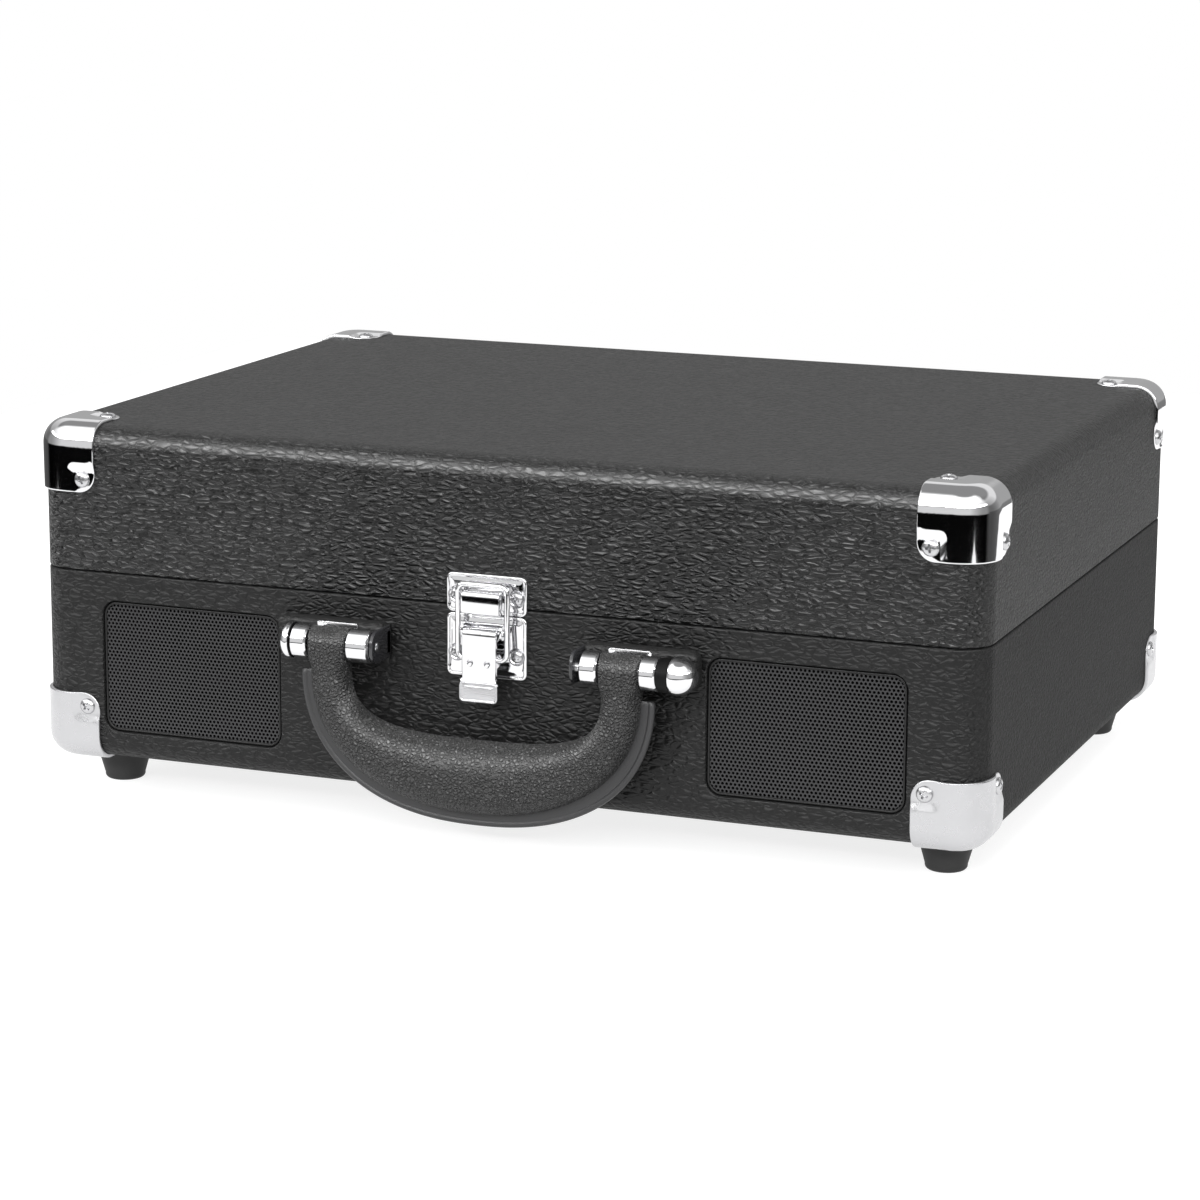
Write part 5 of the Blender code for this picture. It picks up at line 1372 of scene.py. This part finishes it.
def arm_rest():
    """The rest's foot, post and wall, and the clip, which is stored open."""
    x = ARM_PIVOT[0]
    near = REST_Y - 0.004
    far = REST_Y + 0.004
    profile = [(0, DECK_SEAT), (0.0075, DECK_SEAT), (0.0075, DECK_TOP + 0.0028)]
    profile += [(0.0070, DECK_TOP + 0.0033), (0, DECK_TOP + 0.0033)]
    foot = turned(profile, (x + 0.002, REST_Y, 0), 2, 40)
    shelf = ARM_Z - ARM_RADIUS - 0.0003
    post = soft_box((x - 0.003, near, DECK_TOP + 0.002), (x + 0.0072, far, shelf), 2, 0.001, 0.0003)
    clip_x, clip_z = CLIP_AXIS
    wall_start = (x + ARM_RADIUS + 0.0006, near, 0.090)
    wall = soft_box(wall_start, (x + 0.0072, far, clip_z - 0.0018), 2, 0.0006, 0.0003)
    add_piece("arm_rest", joined(foot, post, wall), "base", PLASTIC, ["tonearm_rest"])
    near = REST_Y - 0.003
    far = REST_Y + 0.003
    bar = soft_box((-0.0142, near, -0.0010), (0.0008, far, 0.0010), 1, 0.0008, 0.0003)
    hook = soft_box((-0.0142, near, -0.0026), (-0.0128, far, 0), 1, 0.0005, 0.0002)
    clip = joined(bar, hook)
    opened = Matrix.Rotation(math.radians(100), 3, "Y")
    bmesh.ops.rotate(clip, cent=(0, 0, 0), matrix=opened, verts=clip.verts)
    bmesh.ops.translate(clip, vec=(clip_x, 0, clip_z), verts=clip.verts)
    add_piece("arm_clip", clip, "tonearm_clip", PLASTIC, ["tonearm_clip"])


def knobs():
    """Two fluted knobs, each with a pointer line."""
    low = DECK_TOP + 0.0010
    high = 0.0885
    radius = KNOB_RADIUS
    profile = [(0, 0.068), (0.0030, 0.068), (0.0030, low), (radius * 0.98, low), (radius, low + 0.0005)]
    profile += [(radius * 0.965, high - 0.0012), (radius * 0.94, high - 0.0004), (radius * 0.88, high)]
    profile += [(radius * 0.82, high), (radius * 0.80, high - 0.0003), (0, high - 0.0003)]
    for label, (x, y) in (("volume_knob", VOLUME), ("mode_knob", MODE)):
        knob = turned(profile, (x, y, 0), 2, 192)
        for vert in knob.verts:
            out = Vector((vert.co.x - x, vert.co.y - y))
            if out.length > radius * 0.9 and vert.co.z < high - 0.0006:
                share = 1 - 0.030 * (1 + math.cos(32 * math.atan2(out.y, out.x))) / 2
                vert.co.x = x + out.x * share
                vert.co.y = y + out.y * share
        add_piece(f"fluted_{label}", knob, label, SATIN, [label], sharp=30)
        far = (x + 0.0004, y + 0.0066, high - 0.0001)
        mark = soft_box((x - 0.0004, y + 0.0025, high - 0.0004), far, 2, 0.0003, 0)
        add_piece(f"{label}_pointer", mark, label, PLASTIC)


def sliders():
    """Two sliding switches with ribbed caps."""
    top = DECK_TOP + 0.0046
    for label, (x, y) in (("speed_lever", SPEED), ("autostop_switch", AUTOSTOP)):
        near = (x - 0.0025, y - 0.004, DECK_TOP + 0.0004)
        cap = soft_box(near, (x + 0.0025, y + 0.004, top), 2, 0.0009, 0.0004)
        ribs = []
        for middle in (y - 0.0020, y, y + 0.0020):
            near = (x - 0.0021, middle - 0.0005, top - 0.0004)
            ribs.append(soft_box(near, (x + 0.0021, middle + 0.0005, top + 0.0006), 0, 0.0004, 0.0001))
        stem = box((x - 0.0010, y - 0.0010, 0.071), (x + 0.0010, y + 0.0010, DECK_TOP + 0.001))
        add_piece(f"{label}_cap", joined(cap, stem, *ribs), label, GLOSS, [label])


def headphone_jack():
    """The headphone socket's bushing."""
    top = DECK_TOP + 0.0018
    profile = [(0.0018, 0.0635), (0.0018, DECK_TOP + 0.0014), (0.0022, top), (0.0056, top)]
    profile += [(0.0062, DECK_TOP + 0.0014), (0.0064, DECK_SEAT), (0.0040, DECK_SEAT)]
    profile += [(0.0040, 0.062), (0.0018, 0.062)]
    socket = turned(profile, (*HEADPHONE, 0), 2, 48)
    add_piece("headphone_jack", socket, "base", CHROME, ["headphone_socket"])


def adapter():
    """The spare adapter for records with a large hole, lying on the deck."""
    low = DECK_SEAT
    radius = ADAPTER_RADIUS
    profile = [(0.0037, low), (radius - 0.0003, low), (radius, low + 0.0004), (radius, low + 0.0028)]
    profile += [(radius - 0.0006, low + 0.0034), (0.0175, low + 0.0034), (0.0168, low + 0.0026)]
    profile += [(0.0125, low + 0.0026), (0.0118, low + 0.0036), (0.0100, low + 0.0045)]
    profile += [(0.0046, low + 0.0045), (0.0037, low + 0.0040)]
    disc = turned(profile, (*ADAPTER, 0), 2, 96)
    add_piece("adapter_disc", disc, "adapter_45", PLASTIC, ["adapter_45"])


def lining():
    """The flocked panel inside the lid, with softly rounded corners."""
    low, high = local_box("lid_lining")
    rows = [(0.0, high.z), (0.0, low.z + 0.0003), (0.0003, low.z)]
    panel = skin([rounded_ring(high.x - inset, high.y - inset, 0.005, z) for inset, z in rows])
    add_piece("lid_panel", panel, "lid", FELT, ["lid_lining"])


# ---------------------------------------------------------------- stage


def camera():
    """The photograph's viewpoint: in front, to the right and a little above."""
    data = bpy.data.cameras.new("camera")
    data.lens = 110.64
    data.sensor_width = 36
    made = bpy.data.objects.new("camera", data)
    bpy.context.scene.collection.objects.link(made)
    place = Vector((0.4896, -1.2672, 0.357))
    forward = Vector((-0.3561, 0.9099, -0.2127)).normalized()
    right = Vector((0.9313, 0.3643, 0.0057))
    right = (right - forward * right.dot(forward)).normalized()
    up = right.cross(forward)
    matrix = Matrix((right, up, -forward)).transposed().to_4x4()
    matrix.translation = place
    made.matrix_world = matrix
    bpy.context.scene.camera = made


def ramp(tree, height, bands):
    """Grey levels up the sky, from (height, level) pairs between straight down at -1 and straight up at 1."""
    made = node(tree, "ShaderNodeValToRGB", None, Fac=height)
    elements = made.color_ramp.elements
    while len(elements) < len(bands):
        elements.new(0.5)
    for element, (level, _) in zip(elements, bands):
        element.position = (level + 1) / 2
    for element, (_, value) in zip(elements, bands):
        element.color = (*grey(value), 1)
    return made.outputs["Color"]


def studio():
    """A pale table, and a studio round it that is white to the eye and banded to its reflections."""
    bpy.context.scene.view_settings.view_transform = "Standard"
    glow = {"Specular_IOR_Level": 0.0, "Emission_Color": (1, 1, 1, 1), "Emission_Strength": 0.82}
    material = new_material("table", grey(0.30), 0.9, **glow)[0]
    piece = bpy.data.objects.new("table", mesh_from(box((-0.62, -0.52, -0.01), (0.62, 0.95, 0.0))))
    piece.data.materials.append(material)
    bpy.context.scene.collection.objects.link(piece)
    piece.visible_diffuse = False

    world = bpy.data.worlds.new("studio")
    bpy.context.scene.world = world
    world.use_nodes = True
    tree = world.node_tree
    tree.nodes.clear()
    direction = node(tree, "ShaderNodeTexCoord").outputs["Generated"]
    axes = node(tree, "ShaderNodeSeparateXYZ", None, Vector=direction).outputs
    height = mapped(tree, axes["Z"], (-1.0, 1.0))
    front_bands = [(-1.00, 0.002), (-0.10, 0.002), (-0.06, 0.90), (0.33, 0.90), (0.345, 0.25), (0.375, 0.25)]
    front_bands += [(0.38, 15.0), (0.45, 15.0), (0.48, 2.00), (0.90, 2.00), (0.95, 0.35), (1.00, 0.35)]
    back_bands = [(-1.00, 0.05), (-0.03, 0.25), (0.00, 0.46), (0.30, 0.46)]
    back_bands += [(0.36, 1.00), (0.62, 1.00), (0.70, 0.35), (1.00, 0.35)]
    front, back = [ramp(tree, height, bands) for bands in (front_bands, back_bands)]
    around = colour_between(tree, mapped(tree, axes["Y"], (-0.1, 0.1)), front, back)
    dimmed = mapped(tree, maths(tree, "ABSOLUTE", axes["X"]), (0.55, 0.95), (1.0, 0.4))
    around = node(tree, "ShaderNodeVectorMath", {"operation": "SCALE"}, i0=around, Scale=dimmed).outputs[0]
    seen = node(tree, "ShaderNodeLightPath").outputs["Is Camera Ray"]
    shown = colour_between(tree, seen, around, (1, 1, 1))
    background = node(tree, "ShaderNodeBackground", None, Color=shown, Strength=1.0)
    output = node(tree, "ShaderNodeOutputWorld")
    tree.links.new(background.outputs[0], output.inputs["Surface"])

    key = bpy.data.lights.new("overhead_softbox", "AREA")
    key.shape = "RECTANGLE"
    key.size = 1.6
    key.size_y = 1.2
    key.energy = 30
    lamp = bpy.data.objects.new("overhead_softbox", key)
    lamp.location = (0.1, -0.1, 1.6)
    lamp.visible_glossy = False
    bpy.context.scene.collection.objects.link(lamp)


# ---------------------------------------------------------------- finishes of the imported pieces


def finish_packed_nodes():
    """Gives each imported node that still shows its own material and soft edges."""
    finishes = {
        "leatherette": LEATHER,
        "chrome": CHROME,
        "steel": STEEL,
        "rubber": RUBBER,
        "black_plastic": PLASTIC,
        "gloss_plastic": GLOSS,
        "grille_metal": GRILLE,
        "cone_paper": PAPER,
        "felt": FELT,
        "circuit_board": BOARD,
    }
    for part in frame["record"]["subparts"]:
        piece = frame["nodes"][part["node"]]
        piece.data.materials.clear()
        piece.data.materials.append(finishes[part["material_slot"]])
        soft = piece.modifiers.new("soft_edges", "BEVEL")
        soft.width = 0.0003
        soft.segments = 2
        soft.limit_method = "ANGLE"
        soft.angle_limit = math.radians(40)


case()
corners()
feet()
grilles()
handle()
latch()
hinges()
back_sockets()
deck()
platter()
arm_base()
arm()
cueing()
arm_rest()
knobs()
sliders()
headphone_jack()
adapter()
lining()
finish_packed_nodes()
camera()
studio()
